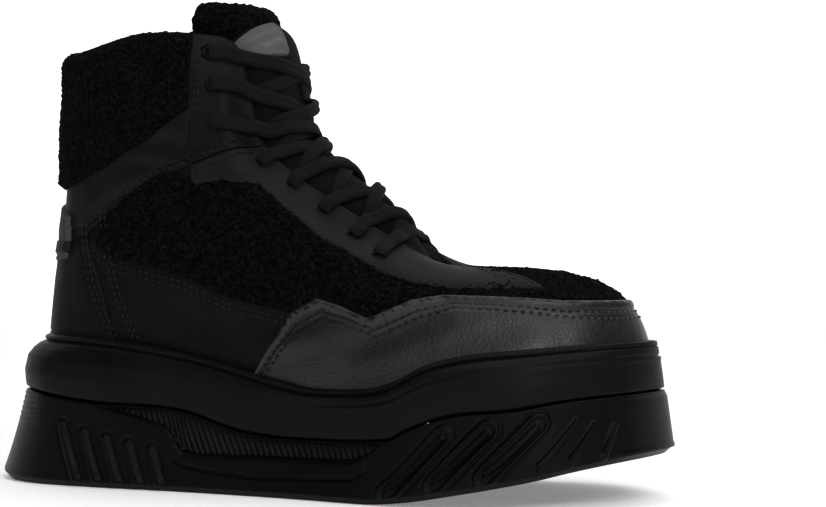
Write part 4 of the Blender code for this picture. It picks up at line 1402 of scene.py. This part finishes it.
def holeMarks(side, hole):
    # out of the hole and up over the eyestay, towards the throat
    u, v = side * hole[0], hole[1]
    p = upperPoint(u, v)
    n = upperNormal(u, v)
    s = rimNearest(u, v)
    way = upperPoint(side * s, 1) - p
    way = (way - n * way.dot(n)).normalized()
    top = lace["stay"] + lace["thick"] / 2
    marks = [(p - n * 0.0034 - way * 0.0004, way),
             (p + n * 0.0004 - way * 0.0003, way * 0.7 + n * 0.3),
             (p + n * (top + 0.0002) + way * 0.0018, n)]
    rim = upperPoint(side * s, 1)
    for share in (0.5, 0.9) if (rim - p).length > 0.010 else (0.75,):
        # the place on the leather nearest to the straight way from the hole to the edge
        goal = p.lerp(rim, share)
        grid = [(j / 14, k / 10) for j in range(-8, 20) for k in range(-3, 11)]
        nearby = [(u + (side * s - u) * gone, v + (1 - v) * risen) for gone, risen in grid]
        near = min(nearby, key=lambda spot: (upperPoint(*spot) - goal).length)
        marks.append((upperOff(*near, top + 0.0003), upperNormal(*near)))
    return marks, s


def across(s, w, gap):
    here = instepOff(s, w, gap)
    return here, (instepOff(s, w, gap + 0.002) - here).normalized()


def buildLaces():
    for k in range(len(laceHoles) - 1):
        for side in (-1, 1):
            over = lace["over"] * crossingRise[k] if (side < 0) == (k % 2 == 0) else 0.0
            end = rimNearest(-side * laceHoles[k + 1][0], laceHoles[k + 1][1])
            marks, s = holeMarks(side, laceHoles[k])
            for w, gap, share in legRoute:
                marks.append(across(s + (end - s) * min(1.0, 0.5 - w), side * w, gap + over * share))
            piece = lacePiece("lace_%s_%d" % ("outer" if side < 0 else "inner", k), marks)
            if side < 0 and k == 0:
                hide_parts("lace")
    first, s = holeMarks(-1, laceHoles[-1])
    second, e = holeMarks(1, laceHoles[-1])
    middle = [across(s + (e - s) * (w + 0.5), w, 0.0012) for w in (-0.35, 0.0, 0.35)]
    lacePiece("lace_bar", first + middle + second[::-1])


def buildHoles():
    # punched holes: a turned-in edge and a dark throat, closed by a disc; all near-black as painted shade of
    # the hole's inside
    work = bmesh.new()
    profile = [(1.45, 0.00), (1.28, 0.24), (1.08, 0.20), (0.98, -0.30), (0.90, -1.2)]
    for side in (-1, 1):
        for u, v in laceHoles:
            middle = upperOff(side * u, v, lace["stay"] - 0.0003 if u > 0.5 else 0.0010)
            turn = upperNormal(side * u, v).to_track_quat("Z", "Y").to_matrix()
            rings = []
            for reach, rise in profile:
                radius = reach * lace["hole"]
                ring = bmesh.ops.create_circle(work, cap_ends=False, segments=20, radius=radius)["verts"]
                for vert in ring:
                    vert.co = middle + turn @ Vector((vert.co.x, vert.co.y, rise * mm))
                rings.append(ring)
            for one, two in zip(rings, rings[1:]):
                both = set(one + two)
                edges = {e for vert in both for e in vert.link_edges if e.other_vert(vert) in both}
                bmesh.ops.bridge_loops(work, edges=list(edges))
            # a near-black disc closes each throat: painted shade standing in for the hole's depth
            bmesh.ops.contextual_create(work, geom=rings[-1])
    bmesh.ops.recalc_face_normals(work, faces=work.faces)
    piece = finishPiece("lace_hole_edges", work, holeEdgeShade)


# the counter's curved seams, two pairs: u at the top and at the foot
counterSeams = [(0.150, 0.205), (0.158, 0.213), (0.186, 0.240), (0.194, 0.248)]


def counterSeam(side, near, far):
    row = []
    for k in range(120):
        t = k / 119
        foot = side * (far - (far - near) * ramp(1 - t, 0.0, 0.9))
        low = lipLevel(foot, -0.001)
        v = low + (ankleEdge(foot) - 0.03 - low) * t
        u = side * (near + (far - near) * (1 - t) ** 1.6)
        row.append((upperOff(u, v, 0.0011), upperNormal(u, v)))
    return row


def buildStitches():
    start = toeGuard["start"] + 0.012
    around = [turned(q) for q in steps(start, 2 - start, 700)]
    rows = [seamUnder(around, toeTop, 0.0054, 0.0017), seamUnder(around, toeTop, 0.0078, 0.0018)]
    toeRows = stitchPiece("toe_stitching", rows)
    rows = []
    for side in (-1, 1):
        us = steps(side * 0.405, side * 0.86, 260)
        rows.append(seamUnder(us, stayLow, -0.0024, 0.0019))
        rows.append(seamUnder(us[:110], lambda u: lineLevel(u, stayTop, 0.2, 0.99), 0.0024, 0.0019))
    stayRows = stitchPiece("eyestay_stitching", rows)
    rows = []
    for side in (-1, 1):
        us = steps(side * 0.172, side * 0.52, 260)
        rows.append(seamUnder(us, quarterTop, 0.0022, 0.0001))
        rows.append(seamUnder(us, quarterTop, 0.0046, 0.0001))
        rows += [counterSeam(side, near, far) for near, far in counterSeams]
        us = steps(side * 0.15, side * 0.405, 180)
        rows.append(seamUnder(us, ankleHigh, -0.0022, 0.0011))
        # two upright rows beside the collar's fleece
        for shift in (0.0030, 0.0052):
            u = side * (collar["reach"] + shift / edgeRoll["arc"])
            rows.append([(upperOff(u, v, 0.0012), upperNormal(u, v)) for v in steps(0.985, 0.725, 90)])
    sideRows = stitchPiece("side_stitching", rows)


buildLaces()
buildHoles()
buildStitches()
print("laces and stitches ready")


# floor, light and backdrop
studio = {"paper": "#f3f3f2", "glow": 0.85, "floorGlow": 0.24, "size": 4.0, "back": 2.5, "overhead": 1.7,
          "key": 5.6, "fill": 1.3, "low": 0.5, "world": 0.10}


def paper(name, specular, glow):
    material, tree, shader = newMaterial(name, studio["paper"], 0.9, specular)
    shader.inputs["Emission Color"].default_value = linear(studio["paper"])
    shader.inputs["Emission Strength"].default_value = glow
    return material


def stagePiece(name, middle, turn, material):
    work = bmesh.new()
    bmesh.ops.create_grid(work, x_segments=1, y_segments=1, size=studio["size"])
    mesh = bpy.data.meshes.new(name)
    work.to_mesh(mesh)
    work.free()
    mesh.materials.append(material)
    thing = bpy.data.objects.new(name, mesh)
    thing.location = middle
    thing.rotation_euler = turn
    bpy.context.collection.objects.link(thing)


stagePiece("floor", (0, 0, 0), (0, 0, 0), paper("pale studio paper", 0.1, studio["floorGlow"]))
stagePiece("wall", (-0.9, studio["back"], 0), (radians(90), 0, radians(camera["turn"])),
           paper("lit studio wall", 0.0, studio["glow"]))

world = bpy.data.worlds.new("studio")
world.use_nodes = True
world.node_tree.nodes["Background"].inputs["Color"].default_value = linear("#ffffff")
world.node_tree.nodes["Background"].inputs["Strength"].default_value = studio["world"]
bpy.context.scene.world = world
bpy.context.scene.view_settings.view_transform = "Standard"


def areaLight(name, place, aim, size, power):
    light = bpy.data.lights.new(name, "AREA")
    light.shape = "RECTANGLE"
    light.size, light.size_y = size
    light.energy = power
    thing = bpy.data.objects.new(name, light)
    thing.location = place
    thing.rotation_euler = (Vector(aim) - Vector(place)).to_track_quat("-Z", "Y").to_euler()
    bpy.context.collection.objects.link(thing)


overhead = bpy.data.lights.new("overhead", "SUN")
overhead.energy = studio["overhead"]
overhead.angle = radians(70)
overheadObject = bpy.data.objects.new("overhead", overhead)
overheadObject.rotation_euler = (radians(-8), radians(6), 0)
bpy.context.collection.objects.link(overheadObject)
areaLight("key", (0.75, -0.60, 0.65), (0.12, 0, 0.06), (0.6, 0.45), studio["key"])
areaLight("fill", (0.30, -0.95, 0.40), (0.05, 0, 0.06), (0.5, 0.5), studio["fill"])
areaLight("low", (0.75, -0.80, 0.12), (0.10, -0.04, 0.03), (0.25, 0.15), studio["low"])
